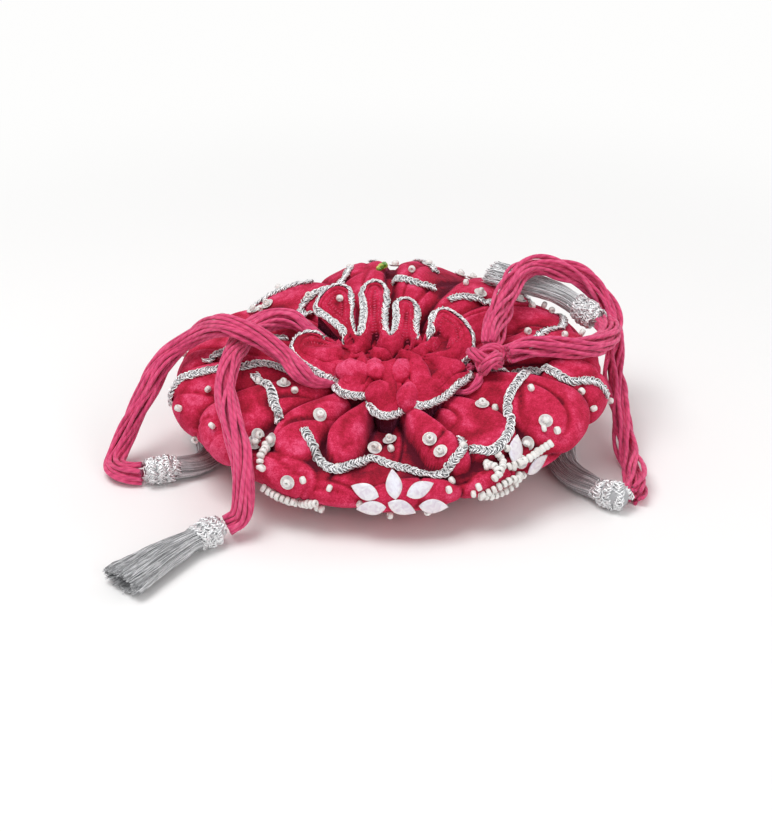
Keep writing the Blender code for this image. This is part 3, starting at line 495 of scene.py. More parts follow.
silver_thread = material("silver_thread", silver_surface, (0.62, 0.62, 0.63), (0.99, 0.99, 0.99), 700.0)
# The braid's ground is near black: painted shade for the dark gaps between the knitted threads.
painted_shade_ground = material("painted_shade_ground", silver_surface, (0.012, 0.01, 0.011), (0.16, 0.15, 0.155), 1100.0)
tassel_thread = material("tassel_thread", silver_surface, (0.4, 0.4, 0.41), (0.95, 0.95, 0.96), 300.0, 0.6, 0.3)
braid_tree, thread_tree = plait_tree(), skirt_tree()
tassel_pieces = {}
for number, (end, (cap_points, skirt_points)) in enumerate(TASSELS.items()):
    cap = spaced([(*p, CAP_RADIUS * k) for p, k in zip(cap_points, CAP_SHARES)], CAP_SPACING) * MM
    middle, rows = cap[:, :3], np.arange(len(cap))
    cap_side, cap_up = frames_along(middle)
    radius = (cap[:, 3] - HEAD_INSET * MM) * np.sqrt(np.clip(np.minimum(rows, rows[::-1]) / 3.0 + 0.25, 0, 1))
    head = sweep("tassel_head_" + end, [(middle, cap_side, cap_up, radius, radius)], tassel_thread, HEAD_SIDES)
    at = np.linspace(0.0, 1.0, HEAD_SAMPLES)
    wound = 2 * math.pi * HEAD_TURNS * at + number
    spot = np.clip(at + WINDING_SLIP * np.sin(wound * 1.7), 0, 1) * (len(cap) - 1)
    spine, spine_side, spine_up = (np.stack([np.interp(spot, rows, v[:, k]) for k in range(3)], axis=1)
                                   for v in (middle, cap_side, cap_up))
    radial = unit(spine_side * np.cos(wound)[:, None] + spine_up * np.sin(wound)[:, None])
    out_by = (np.interp(spot, rows, radius) + WINDING_LIFT * (1 + np.sin(wound * 2.3)) * MM)[:, None]
    winding = grown("tassel_head_braid_" + end, path_piece([(spine + radial * out_by, radial, 0.0, 0.0)]), braid_tree,
                    silver_thread, HEAD_BRAID)
    ends = np.array(cap_points, float)
    leaving = unit(ends[-1] - ends[-2])
    top = [(*(ends[-1] + leaving * k), *(CAP_RADIUS * share for share in SKIRT_TOP)) for k in SKIRT_STARTS]
    skirt = spaced(top + list(skirt_points), SKIRT_SPACING) * MM
    line, wide, high = skirt[:, :3], skirt[:, 3], skirt[:, 4]
    along = tangents_of(line)
    flat = unit(np.cross(along, (0.0, 0.0, 1.0)))
    core = sweep("tassel_core_" + end, [(line[:-1], flat[:-1], np.cross(along, flat)[:-1], wide[:-1] * CORE_SHARE,
                                         high[:-1] * CORE_SHARE)], tassel_thread, CORE_SIDES)
    threads = grown("tassel_threads_" + end,
                    path_piece([(line, np.cross(flat, along), wide - SKIRT_INSET * MM, high - SKIRT_INSET * MM)]),
                    thread_tree, tassel_thread, {"Threads": SILVER_THREADS, "Thread Radius": SILVER_THREAD_RADIUS * MM,
                                                 "Fray": FRAY, "Seed": SKIRT_SEED + number})
    tassel_pieces[end] = [head, winding, core, threads]
    carry(head, "silver_thread", "tassel_cap_" + end)
    carry(winding, "silver_thread")
    carry(core, "silver_thread")
    carry(threads, "silver_thread", "tassel_skirt_" + end)

# Drawstring ends: each is a loose hank of eighteen two-ply cotton yarns, dyed to match the velvet. They come out of the
# casing tightly twisted, fan out over the bag, hang to the table and end in the tassels' heads. A point without a
# fourth value has the full radius.
YARN_RADIUS, YARNS, INNER_YARNS, YARN_SIDES = 0.86, 18, 0.3, 8
CORD_RADIUS, CORD_SPACING, CORD_LAY, CORD_DIAMETER = 4.5, 1.3, 0.17, 0.009
LOOSENESS = {"left_back": 0.2, "left_front": 0.16, "right_back": 0.24, "right_front": 0.34}
CORDS = {
    "left_back": (
        (-15.2, -10.3, 36, 1.8), (-20, -13, 38.5, 1.8), (-27, -16.8, 41.2, 1.9), (-33, -20, 44, 2.6),
        (-38, -19.5, 48.5, 4.2),
        (-43, -14.5, 52), (-49, -12.5, 56), (-56, -11, 60.5), (-63, -9.5, 63.5),
        (-69.5, -6.5, 63.5), (-76, -2, 60), (-83, 1.5, 55), (-89.5, 3, 50), (-96, 2, 44.5),
        (-101.5, -1.5, 38), (-106, -6, 30.5), (-110, -9.5, 23), (-113.8, -12.5, 14.5),
        (-117.2, -16.5, 7.8), (-118.8, -22.3, 5), (-116.4, -27.9, 4.9), (-111.3, -30.6, 4.9),
        (-106.2, -31.1, 5.1),
    ),
    "left_front": (
        (-17.7, 2.4, 42, 1.8), (-23, 4, 44.5, 1.8), (-29.5, 8.5, 49, 2.4), (-36, 13, 51.6, 3.4), (-42, 16.5, 54.6),
        (-49, 17, 55), (-55, 13, 55), (-60, 6.5, 54.8), (-63.5, -1, 53.6), (-65.5, -9, 52.8),
        (-67, -17, 52.8), (-68, -26, 50.5), (-68, -35, 47), (-66.5, -43.5, 43.5),
        (-64, -50.5, 38.5), (-61.5, -57, 33.5), (-60, -62.5, 28), (-59.4, -66.8, 22.2),
        (-59.2, -69.9, 16.5), (-59.8, -71.6, 11.8), (-61.8, -72.4, 8.5), (-66.1, -74.1, 6.6),
    ),
    "right_back": (
        (49.4, -9.2, 51.4, 4.3), (58.5, -5, 52), (70, -3.5, 51.5), (81, -0.5, 50), (89.5, 5.5, 48),
        (95, 14, 46.5), (97, 23, 46), (94.9, 31.3, 45.6),
    ),
    "right_front": (
        (42.5, -5, 53.3, 3.3), (43.5, -0.8, 54.9, 4.4), (45.2, 7, 57.2), (48, 16, 59.4), (51, 26.5, 61.6),
        (54.5, 35.5, 64), (59, 42, 65.8), (65, 46.4, 66.4), (73, 48.4, 65.4), (82, 48.6, 62),
        (90, 48, 57), (96.5, 46.4, 50.4), (100, 43, 43), (101, 37, 36), (100.5, 28, 30.5),
        (100, 18, 26), (100.5, 8, 21.5), (101.3, -1, 15.5), (102.4, -10, 10), (103.6, -19, 6),
        (104.6, -29, 4.9), (104.4, -39, 4.9), (100.8, -47.3, 4.9),
    ),
}


def ply_group():
    """Two yarns laid round each other, from the UV map: millimetres along the yarn, and turns round it."""
    group = bpy.data.node_groups.new("two_ply", "ShaderNodeTree")
    group.interface.new_socket("Pitch", in_out="INPUT", socket_type="NodeSocketFloat").default_value = 4.2
    for name in ("Ridge", "Fibres"):
        group.interface.new_socket(name, in_out="OUTPUT", socket_type="NodeSocketFloat")
    along = node(group, "ShaderNodeSeparateXYZ", {0: node(group, "ShaderNodeUVMap", uv_map="UVMap")})
    lay = along / node(group, "NodeGroupInput", take="Pitch") + along.other("Y") * 2.0
    hair = node(group, "ShaderNodeCombineXYZ", {0: along * 0.5, 1: lay * 9.0, 2: 0.0})
    ridge = (lay * math.pi).sum("SINE").sum("ABSOLUTE")
    node(group, "NodeGroupOutput", {"Ridge": ridge, "Fibres": noise(hair, 1.0, 3.0)})
    return group


def yarn_surface(where):
    ridge = node(where.tree, "ShaderNodeGroup", take="Ridge", node_tree=ply_group())
    fibres = ridge.other("Fibres")
    # The ply ridge lightens the crest of each ply and darkens the groove between plies, as painted highlight and
    # painted shade; the noises are the yarn's own uneven tone.
    shade = ridge * 0.22 + fibres * 0.5 + (noise(where, 180.0) - 0.5) * 0.6
    return {"Base Color": ramp(shade, (0.1, (0.5, 0.03, 0.115)), (0.5, (0.8, 0.085, 0.22)), (0.9, (0.97, 0.27, 0.44))),
            "Roughness": 0.85, "Specular IOR Level": 0.25, "Sheen Weight": 0.5, "Sheen Roughness": 0.5,
            "Sheen Tint": (1.0, 0.55, 0.7, 1.0), "Normal": bump(ridge + fibres * 0.5, 0.5, 0.00025)}


def hank(name, centres, radii, count, yarn_radius, turns, seed, closed=False, loose=0.1):
    """A hank of yarns as one mesh. They spread over its section, twist slowly and wander past one another."""
    chance = np.random.default_rng(seed)
    side, up = frames_along(centres, closed)
    at, total = walk(centres, closed)
    thick = np.minimum(yarn_radius * MM, radii * 0.42)
    room = np.maximum(radii - thick, 0.2 * radii)
    inside = round(count * INNER_YARNS)
    runs = []
    for k in range(count):
        reach, size = (0.42, inside) if k < inside else (1.0, count - inside)
        angle = 2 * math.pi * k / size + chance.uniform(-0.12, 0.12)
        waves = chance.integers(1, 4, 4) if closed else chance.uniform(0.011, 0.03, 4) * total / MM
        phases = chance.uniform(0, 2 * math.pi, 4)
        drift = [np.sin(2 * math.pi * w * at / total + p) for w, p in zip(waves, phases)]
        twist = angle + 2 * math.pi * turns * at / total + 0.16 * drift[0]
        a, b = reach * np.cos(twist) + loose * drift[1], reach * np.sin(twist) + loose * drift[2]
        line = centres + side * (a * room)[:, None] + up * (b * room)[:, None]
        along = tangents_of(line, closed)
        flat = unit(side - along * (side * along).sum(axis=1, keepdims=True))
        runs.append((line, flat, np.cross(along, flat), thick, thick))
    return sweep(name, runs, cotton_yarn, YARN_SIDES, closed)


cotton_yarn = material("pink_cotton_yarn", yarn_surface)
cord_pieces, cord_lines = {}, {}
for number, (end, points) in enumerate(CORDS.items()):
    line = spaced([(*p, CORD_RADIUS)[:4] for p in points], CORD_SPACING) * MM
    cord_lines[end] = line[:, :3]
    cord_pieces[end] = hank("drawstring_end_" + end, cord_lines[end], line[:, 3], YARNS, YARN_RADIUS,
                            walk(cord_lines[end])[1] / CORD_LAY, 5 + number, loose=LOOSENESS[end])
    carry(cord_pieces[end], "cotton_yarn", "cord_" + end)

# Neck turns, leads and knot: each drawstring goes round the neck in the casing, and the right one's two ends come
# out side by side, meet in an overhand knot, and leave it as the two hanks that loop over the right of the bag. The
# yarns of each are given as their number, their radius in mm and their turns of twist.
NECK_HEIGHT, NECK_LEAN, NECK_RADIUS = 38.0, 0.45, 12.5
TURN_DIAMETER, TURN_SPACING, TURN_CLEARANCE = 4.2, 4.7, 0.5
KNOT_AT, KNOT_SCALE, KNOT_RADIUS, KNOT_SAMPLES = (41, -12, 50.5), 2.3, 2.55, 110
LEAD_SPACING, TURN_STEP = 0.8, 3.0
TURN_YARNS, LEAD_YARNS, KNOT_YARNS = (7, 0.75, 4), (6, 0.7, 0.8), (9, 0.75, 2)
LEADS = {
    "lead_right_front": (
        (14.5, -10.15, 31.9, 1.2), (18, -12.6, 33.9, 1.2), (20.5, -14.3, 36.1, 1.2), (22.9, -16.1, 37.8, 1.2),
        (25.2, -18, 38.6, 1.2), (27.6, -19.8, 38.9, 1.2), (30, -21.6, 39.5, 1.3), (32.6, -23, 40.6, 1.5),
        (35.4, -22.8, 42.8, 1.8), (37.4, -20.4, 44.5, 1.9), (37.8, -17.4, 44.9, 1.9),
    ),
    "lead_right_side": (
        (17.1, -4.6, 34.3, 1.6), (20.3, -5.4, 35.4, 1.6), (24.1, -6.5, 37.3, 1.6), (27, -7.2, 38.8, 1.6),
        (29.9, -8.0, 40.3, 1.7), (32.4, -8.9, 42.4, 1.8), (34.2, -9.8, 45.0, 1.9), (34.6, -10, 46.2, 1.9),
    ),
}


def neck_level(angle, radius):
    return NECK_HEIGHT + NECK_LEAN * radius * np.sin(np.radians(angle))


def polar(angle, radius, height):
    turn = np.radians(angle)
    return np.stack((radius * np.cos(turn), radius * np.sin(turn), height + 0 * turn), axis=-1) * MM


neck_pieces = []
turn_angles = np.arange(0, 360, TURN_STEP)
turn_middle = NECK_RADIUS + TURN_CLEARANCE + TURN_DIAMETER / 2
for number, (side, offset) in enumerate((("left", TURN_SPACING / 2), ("right", -TURN_SPACING / 2))):
    line = polar(turn_angles, turn_middle, neck_level(turn_angles, turn_middle) + offset)
    radii = np.full(len(line), TURN_DIAMETER / 2 * MM)
    neck_pieces.append(hank("yarns_of_drawstring_turn_" + side, line, radii, *TURN_YARNS, 30 + number, closed=True))
for number, (lead_name, points) in enumerate(LEADS.items()):
    line = spaced(points, LEAD_SPACING) * MM
    neck_pieces.append(hank("yarns_of_" + lead_name, line[:, :3], line[:, 3], *LEAD_YARNS, 40 + number))
t = np.linspace(0, 2 * math.pi, KNOT_SAMPLES, endpoint=False)
knot_line = np.stack((np.sin(t) + 2 * np.sin(2 * t), np.cos(t) - 2 * np.cos(2 * t), -1.15 * np.sin(3 * t)), axis=1)
knot_line += np.stack((0.42 * np.sin(5 * t + 1.0), 0.38 * np.cos(4 * t + 2.0), 0.3 * np.sin(4 * t)), axis=1)
knot_line = (np.array(KNOT_AT) + knot_line * KNOT_SCALE) * MM
neck_pieces.append(hank("yarns_of_knot", knot_line, np.full(KNOT_SAMPLES, KNOT_RADIUS * MM), *KNOT_YARNS, 50,
                        closed=True))
for piece, name in zip(neck_pieces, ("drawstring_turn_left", "drawstring_turn_right", *LEADS, "knot_right")):
    carry(piece, "cotton_yarn", name)
for end, line in cord_lines.items():
    tassel_pieces[end] + (neck_pieces[2:] if end == "right_front" else [])

# Velvet bag: one round of cotton velvet gathered on the drawstrings. The belly slumps into soft pleats over what little
# is inside, and above the casing the cloth opens into a ruffle, faced inside with a turned and stitched velvet band.
PROFILE = (
    ((40, 0), (40, 0), (40, 0)),
    ((64, 5), (66, 6), (54, 3)),
    ((80, 14), (82, 18), (64, 8.5)),
    ((90, 28), (89, 33), (72.5, 17)),
    ((84, 39), (79, 48), (69, 23)),
    ((66, 43), (61, 56), (55, 26)),
    ((44, 41), (42, 56), (38, 28)),
    ((25, 36), (25, 48), (24, 27)),
)
SAGS = (
    (322, 28, 1.6, 1.2, -2.0, 8.0), (350, 16, 1.6, 1.2, -2.0, 3.0), (136, 30, 4.9, 1.7, -3.0, -7.0),
    (60, 12, 5.0, 1.5, 0.0, -4.0), (232, 24, 1.6, 1.3, -3.5, 2.0), (278, 20, 1.6, 1.4, -3.0, 2.0),
)
FOLDS = (
    (27, 12, 2.6, 7.2, 5.0, 1.5), (51, 11, 2.2, 7.3, 6.0, -1.0), (73, 14, 2.4, 7.2, 5.6, 0.0),
    (103, 12, 2.2, 7.1, 5.5, 1.5), (127, 12, 2.5, 7.3, 6.0, -1.5), (150, 11, 2.3, 7.2, 5.5, 1.0),
    (172, 11, 2.4, 7.2, 5.5, 0.0), (192, 9, 2.0, 6.9, 6.0, 1.0), (209, 10, 2.6, 6.8, 6.0, -1.0),
    (229, 10, 4.1, 7.5, 8.0, -3.0), (249, 8, 4.5, 7.6, 9.5, -1.0), (288, 8, 4.1, 7.3, 8.5, -4.0),
    (311, 12, 4.2, 6.6, 6.8, 2.0), (334, 12, 2.9, 6.9, 7.0, 1.0), (352, 8, 2.4, 5.0, 6.0, 0.0),
    (8, 10, 3.0, 7.1, 5.5, -1.0), (203, 14, 0.8, 3.1, 4.0, 0.0), (231, 13, 0.9, 4.3, 4.5, 3.0),
    (251, 9, 1.2, 3.4, 3.0, 0.0), (277, 16, 0.7, 4.2, 4.2, 0.0), (302, 9, 0.8, 3.9, 3.6, 0.0),
    (325, 13, 0.9, 3.0, 4.0, 0.0), (352, 13, 0.7, 3.0, 4.0, 0.0), (20, 14, 0.7, 3.0, 4.5, 0.0),
    (50, 14, 0.8, 2.8, 4.5, 0.0), (80, 15, 0.7, 3.0, 5.0, 0.0), (112, 15, 0.8, 2.9, 4.5, 0.0),
    (143, 15, 0.7, 3.0, 5.0, 0.0), (175, 14, 0.8, 2.9, 4.5, 0.0),
)
FRILL_LOBES = (
    (-22, ((16, -6.5), (27, -5), (33.5, -1), (33.5, 6), (29.5, 12.5), (23, 16.5), (18, 13), (16.2, 7))),
    (22, ((14, 1.5), (12, 7), (12.4, 14), (10.5, 20), (6, 22), (2.6, 19.5), (2, 12))),
    (88, ((0.2, 4.5), (-1.6, 12), (-1.2, 21), (-2.6, 28), (-6.5, 30.5), (-10.6, 28.5), (-12.2, 22), (-12, 13))),
    (146, ((-13.8, 4.2), (-15.8, 12), (-16, 20), (-18.2, 26.5), (-23.5, 28.5), (-29, 24.5), (-31.5, 16.5), (-24, 8.5))),
    (178, ((-16, 0.5), (-24, 2), (-32, 4.5), (-38.5, 3), (-40.5, -3.5), (-36.5, -9.5), (-29, -13), (-21.5, -12))),
    (214, ((-14, -8.5), (-18.5, -14), (-21, -20.5), (-17, -24.5), (-10.5, -23.5), (-8, -17.5))),
    (243, ((-6.2, -9.5), (-5.4, -18), (-6.8, -27), (-4.2, -34), (1, -34.5), (4, -28.5), (3.4, -18))),
    (288, ((4.6, -9.5), (7, -18), (8.2, -26), (13, -30), (20, -27), (26.5, -20.5), (32.5, -15), (30, -10.5))),
)
PLEAT_LEAN = 0.55
GROOVE_HALF_HEIGHT = TURN_SPACING / 2 + TURN_DIAMETER / 2 + 0.8
FRILL_BASE_RADIUS, FRILL_RISE, WALL_OUT, WALL_IN = 14.5, 12.5, 0.8, 2.3
FRONT_ROLL, BACK_ROLL = 5.0, 1.0
CREASES = (
    ((-24, 5), (-20.5, 0.3), (-18, -3.5), (-14.7, -5.2), (-10.5, -3.6), (-7.4, 1.0), (-6.4, 5)),
    ((-7.4, 1), (-4, -1.8), (0.8, -4.8), (5.1, -2.6), (7.4, 2)),
    ((13.3, 1.8), (17.2, 4.8), (20.7, 5.8), (23.3, 3.3), (21.9, -1.6)),
    ((-35.2, 6.5), (-28.3, 4.4), (-24, 2.2), (-20.5, 0.3)), ((-22.6, -15.5), (-19.4, -9), (-18, -3.5)),
    ((-5.6, -22.6), (-6.9, -14.9), (-8.4, -8.5), (-10.5, -3.6)),
    ((6.6, -24.5), (5, -17.3), (5.9, -11), (2.5, -7), (0.8, -4.8)),
    ((19.3, -19.2), (17.8, -13.4), (14.5, -7.4), (8.5, -5), (5.1, -2.6)),
    ((27, -8.5), (24, -3.6), (21.9, -1.6), (14.5, -7.4)), ((-8.4, -8.5), (-2.2, -9.6), (2.5, -7)),
    ((5.1, -2.6), (8.5, -0.8), (13.3, 1.8)),
)
TONGUE_SWELL, PUFF_LIFT, PUFF_SWELL, PUFF_CRUMPLE = 3.4, 1.6, 0.17, 0.05
WRINKLE_DEPTH, NIP_DEPTH, FINE_DEPTH, GATHER_DEPTH = 1.2, 1.3, 0.22, 1.0
SOFTENED_BY = {16: 0.5, 120: 1.8}
CUSHION_SOFTENED_BY = {8: 0.5, 60: 1.8}
PUFFS = (
    (-14.5, -14.5, 8.2, 6.2, 5.0, 8.0), (-4.6, -25.4, 6.4, 6.6, 5.4, 20.0), (7.4, -26.4, 5.2, 8.4, 5.4, -25.0),
    (-6.4, -14.0, 4.8, 6.6, 4.4, 12.0), (4.2, -14.6, 4.6, 7.6, 4.6, -14.0),
)
CUSHION_STEP, TONGUE_REACH, TONGUE_DROP, ROLL_REACH, ROLL_RISE = 0.5, 7.6, 3.2, 4.2, 6.2
CREASE_WIDTH, CREASE_DROP, HEM_AT, NOTCH_SINK = 1.7, 8.0, 4.6, 9.0
RIM_STEPS, COLUMNS, BELLY_ROWS, FRILL_ROWS = 12, 560, 92, 26
FACING_WIDTH, FACING_STEP, SEAM_AT, SEAM_DEPTH = 5.2, 0.5, 2.5, 0.35
NOTCH_REACH, NOISE_ROWS, PUFF_ROWS, PUFF_COLUMNS, PAINTED_SHADE_RANGE = 1.45, 97, 24, 36, (-1.0, 1.6)


def smoothstep(t):
    t = np.clip(t, 0.0, 1.0)
    return t * t * (3 - 2 * t)


def soft_noise(turn, height, cells, seed):
    """Smooth noise from -1 to 1: round the bag in turns, up it in cells."""
    lattice = np.random.default_rng(seed).uniform(-1, 1, (cells, NOISE_ROWS))
    x, y = (turn % 1.0) * cells, height + 40.0
    i, j = np.floor(x).astype(int), np.floor(y).astype(int)
    u, v = smoothstep(x - i), smoothstep(y - j)
    i, j, i1, j1 = i % cells, j % NOISE_ROWS, (i + 1) % cells, (j + 1) % NOISE_ROWS
    low = lattice[i, j] * (1 - u) + lattice[i1, j] * u
    high = lattice[i, j1] * (1 - u) + lattice[i1, j1] * u
    return low * (1 - v) + high * v


def table_at(column, station):
    """Catmull-Rom through a column of evenly spaced values."""
    values, last = np.array(column, float), len(column) - 1
    i = np.minimum(station.astype(int), last - 1)
    return cubic(values[np.maximum(i - 1, 0)], values[i], values[i + 1], values[np.minimum(i + 2, last)], station - i)


def turn_gap(a, b):
    return (a - b + 180.0) % 360.0 - 180.0


def belly_form(angle, station):
    """Radius and height of the belly without its pleats, in mm."""
    sine = np.sin(np.radians(angle))
    weights = (1 - np.abs(sine) ** 1.3, np.maximum(sine, 0) ** 1.3, np.maximum(-sine, 0) ** 1.3)
    radius, height = (sum(w * table_at([row[k][which] for row in PROFILE], station) for k, w in enumerate(weights))
                      for which in (0, 1))
    for centre, half_width, at, reach, wider, higher in SAGS:
        share = np.exp(-(turn_gap(angle, centre) / half_width) ** 2 - ((station - at) / reach) ** 2)
        share = share * np.minimum(station, 1.0)
        radius, height = radius + wider * share, height + higher * share
    return radius, height


def pleats(angle, station):
    """Height of the tallest pleat over each point, in mm, and which way it leans."""
    tallest = np.zeros(np.broadcast(angle, station).shape)
    leaning = tallest.copy()
    for centre, half_width, first, last, height, slant in FOLDS:
        middle, reach = (first + last) / 2, (last - first) / 2
        across = turn_gap(angle, centre + slant * (station - middle)) / half_width
        inside = 1.0 - across**2 - ((station - middle) / reach) ** 4
        rise = height * np.maximum(inside, 0.0) ** 0.38
        leaning = np.where(rise > tallest, math.copysign(1.0, turn_gap(centre, 268)) * np.clip(inside, 0, 1), leaning)
        tallest = np.maximum(tallest, rise)
    return tallest, leaning


def belly_surface(angle, station, wrinkled=1.0):
    """Points of the pleated belly, in metres."""
    radius, height = belly_form(angle, station)
    r0, z0 = belly_form(angle, np.maximum(station - 0.05, 0.0))
    r1, z1 = belly_form(angle, np.minimum(station + 0.05, len(PROFILE) - 1.0))
    length = np.hypot(r1 - r0, z1 - z0)
    turn = angle / 360.0
    gathers = np.clip((station - 4.6) / 2.2, 0, 1)
    creases = np.clip(station / 1.5, 0, 1) * (1 - np.clip((station - 6.4) / 0.6, 0, 1))
    folded = soft_noise(turn + 0.011 * station, station / 1.6, 30, 3)
    nipped = soft_noise(turn - 0.014 * station, station / 1.5, 34, 6)
    fold, leaning = pleats(angle, station)
    puff = fold + wrinkled * (
        WRINKLE_DEPTH * creases * folded - NIP_DEPTH * creases * np.maximum(1 - 5.0 * np.abs(nipped), 0) ** 1.5
        + FINE_DEPTH * creases * soft_noise(turn - 0.006 * station, station / 0.35, 97, 4)
        + GATHER_DEPTH * gathers * soft_noise(turn, station / 2.5, 84, 5))
    radius = radius + (z1 - z0) / length * puff
    angle = angle + np.degrees(PLEAT_LEAN * fold * leaning / np.maximum(radius, 30.0)) * np.clip(6.2 - station, 0, 1)
    return polar(angle, radius, np.maximum(height - (r1 - r0) / length * puff, 0.0))


def belly_line(points):
    """A line over the belly, without its wrinkles, through directions and stations."""
    fine = catmull(points, 10, False)
    return belly_surface(fine[:, 0], fine[:, 1], 0.0)


def gathered_columns(count):
    """Neck angle and rim point of each column of the cloth, evenly spaced along the rim, and how near a notch it is."""
    points, angles, from_notch = [], [], []
    for i, (start, lobe) in enumerate(FRILL_LOBES):
        width = (FRILL_LOBES[(i + 1) % len(FRILL_LOBES)][0] - start) % 360
        share = np.arange(len(lobe) * RIM_STEPS) / RIM_STEPS
        angles += (start + width * share / len(lobe)).tolist()
        from_notch += np.minimum(share, len(lobe) - share).tolist()
        points += list(lobe)
    rim = catmull(points, RIM_STEPS, True)
    notch = np.exp(-(np.array(from_notch) / NOTCH_REACH) ** 2)
    closed, angles = np.vstack((rim, rim[:1])), np.append(angles, angles[0] + 360.0)
    walked = np.append(*walk(rim, True))
    even = 0.75 * walked / walked[-1] + 0.25 * (angles - angles[0]) / 360.0
    at = np.arange(count) / count
    notch = np.interp(at, even, np.append(notch, notch[0]))
    return np.interp(at, even, angles), np.stack([np.interp(at, even, closed[:, k]) for k in (0, 1)], axis=1), notch


def front_of(rim):
    """1 for the lobes that flop forward over the drawstring, 0 for those that stand at the back."""
    return np.clip(0.45 - rim[:, 1] / 16.0, 0.0, 1.0)


def frill_middle(columns, rim, share):
    """Middle of the ruffle's cloth at every column; share runs from 0 at its base to 1 at its rim."""
    base = polar(columns, FRILL_BASE_RADIUS, 0.0)[:, :2] / MM
    front = front_of(rim)
    plan = base + (rim - base) * (share ** (0.45 + 0.4 * front))[:, None]
    start = GROOVE_HALF_HEIGHT + 1.0
    ripple = 0.45 * share * soft_noise(np.arange(len(rim)) / len(rim), np.full(len(rim), 2.0 * share), 70, 8)
    roll = (BACK_ROLL + (FRONT_ROLL - BACK_ROLL) * front) * math.sin(math.pi * share**1.1)
    height = NECK_HEIGHT + NECK_LEAN * plan[:, 1] + start + (FRILL_RISE - start) * share + ripple + roll
    return np.column_stack((plan, height - NOTCH_SINK * rim_notch * share**3)) * MM


def frill_walls(columns, rim, shares):
    """The ruffle's cloth and its walls' thickness, out and in, with its normal and the rim's direction."""
    grid = np.array([frill_middle(columns, rim, s) for s in shares])
    around = np.roll(grid, -1, axis=1) - np.roll(grid, 1, axis=1)
    rise_of = np.gradient(grid, axis=0)
    normal = unit(np.cross(around, rise_of))
    bend = np.roll(grid, -1, axis=1) + np.roll(grid, 1, axis=1) - 2 * grid
    inward = -(bend * normal).sum(axis=2, keepdims=True)
    spread = (np.linalg.norm(around, axis=2, keepdims=True) / 2) ** 2
    taper = 0.15 + 0.85 * shares[:, None, None]
    outer = np.minimum(WALL_OUT * MM * taper, 0.5 * spread / np.maximum(-inward, 1e-9))
    inner = np.minimum(WALL_IN * MM * taper, 0.5 * spread / np.maximum(inward, 1e-9))
    along = unit(around[-1])
    rise = unit(rise_of[-1] - along * (rise_of[-1] * along).sum(axis=1, keepdims=True))
    return grid, normal, outer, inner, rise


def between(low, high, count):
    """Rows from one ring to another, without the last."""
    return [low + (high - low) * k / count for k in range(count)]


gathered, rim_plan, rim_notch = gathered_columns(COLUMNS)
rim_notch = rim_notch * np.clip(0.75 - rim_plan[:, 1] / 4.5, 0.0, 1.0)
even = gathered[0] + 360.0 * np.arange(COLUMNS) / COLUMNS
stations = np.linspace(0.0, len(PROFILE) - 1.0, BELLY_ROWS)
pull = smoothstep((stations - 3.0) / 3.5)[:, None]
belly_angles = even * (1 - pull) + gathered * pull
belly = belly_surface(belly_angles, np.broadcast_to(stations[:, None], belly_angles.shape))
pinch = 0.6 * (0.5 + 0.5 * np.sin(np.radians(gathered) * 34 + 1.5 * soft_noise(gathered / 360, 0 * gathered, 30, 9)))
groove = [
    polar(gathered, radius - pinch * tight, neck_level(gathered, radius) + offset) for radius, offset, tight in (
        (NECK_RADIUS + TURN_CLEARANCE + TURN_DIAMETER + 0.4, -GROOVE_HALF_HEIGHT - 0.5, 1.0),
        (NECK_RADIUS, -GROOVE_HALF_HEIGHT + 0.4, 1.0), (NECK_RADIUS, 0.0, 1.0),
        (NECK_RADIUS, GROOVE_HALF_HEIGHT - 1.0, 1.0), (FRILL_BASE_RADIUS, GROOVE_HALF_HEIGHT + 0.6, 0.6))]
shares = 1.0 - (1.0 - np.linspace(0.0, 1.0, FRILL_ROWS + 3)[2:]) ** 1.5
cloth, cloth_out, wall_out, wall_in, rim_rise = frill_walls(gathered, rim_plan, shares)
down = np.concatenate((np.cumsum(np.linalg.norm(np.diff(cloth[::-1], axis=0), axis=2), axis=0)[::-1] / MM,
                       np.zeros((1, COLUMNS))))
facing = FACING_STEP * np.clip((FACING_WIDTH - down) / 0.45, 0, 1) - SEAM_DEPTH * np.exp(-((down - SEAM_AT) / 0.4) ** 2)
wall_in = wall_in * (1 + 0.4 * facing[..., None])
outer_face, inner_face = cloth + cloth_out * wall_out, cloth - cloth_out * wall_in
edge_middle = (outer_face[-1] + inner_face[-1]) / 2
edge_half = (wall_out[-1] + wall_in[-1]) / 2
edge = [edge_middle + cloth_out[-1] * edge_half * math.cos(t) + rim_rise * 0.8 * MM * math.sin(t)
        for t in (0.8, math.pi / 2, math.pi - 0.8)]
rings = [polar(even, 20.0, 0.0), polar(even, 31.0, 0.0), *belly[:-1], *between(belly[-1], groove[0], 6)]
for low, high in zip(groove, groove[1:]):
    rings += between(low, high, 3)
rings += [*between(groove[-1], outer_face[0], 3), *outer_face, *edge]
inner_rows = inner_face[:int(np.searchsorted(shares, 0.38)):-1]
mouth = inner_rows[-1].mean(axis=0) - np.array((0.0, 0.0, 4.0)) * MM
rings += [*inner_rows, *(inner_rows[-1] * (1 - t) + mouth * t for t in (0.35, 0.7, 0.95))]
velvet_grid = np.array(rings)
velvet_out = unit(np.cross(np.roll(velvet_grid, -1, axis=1) - np.roll(velvet_grid, 1, axis=1),
                           np.gradient(velvet_grid, axis=0)))
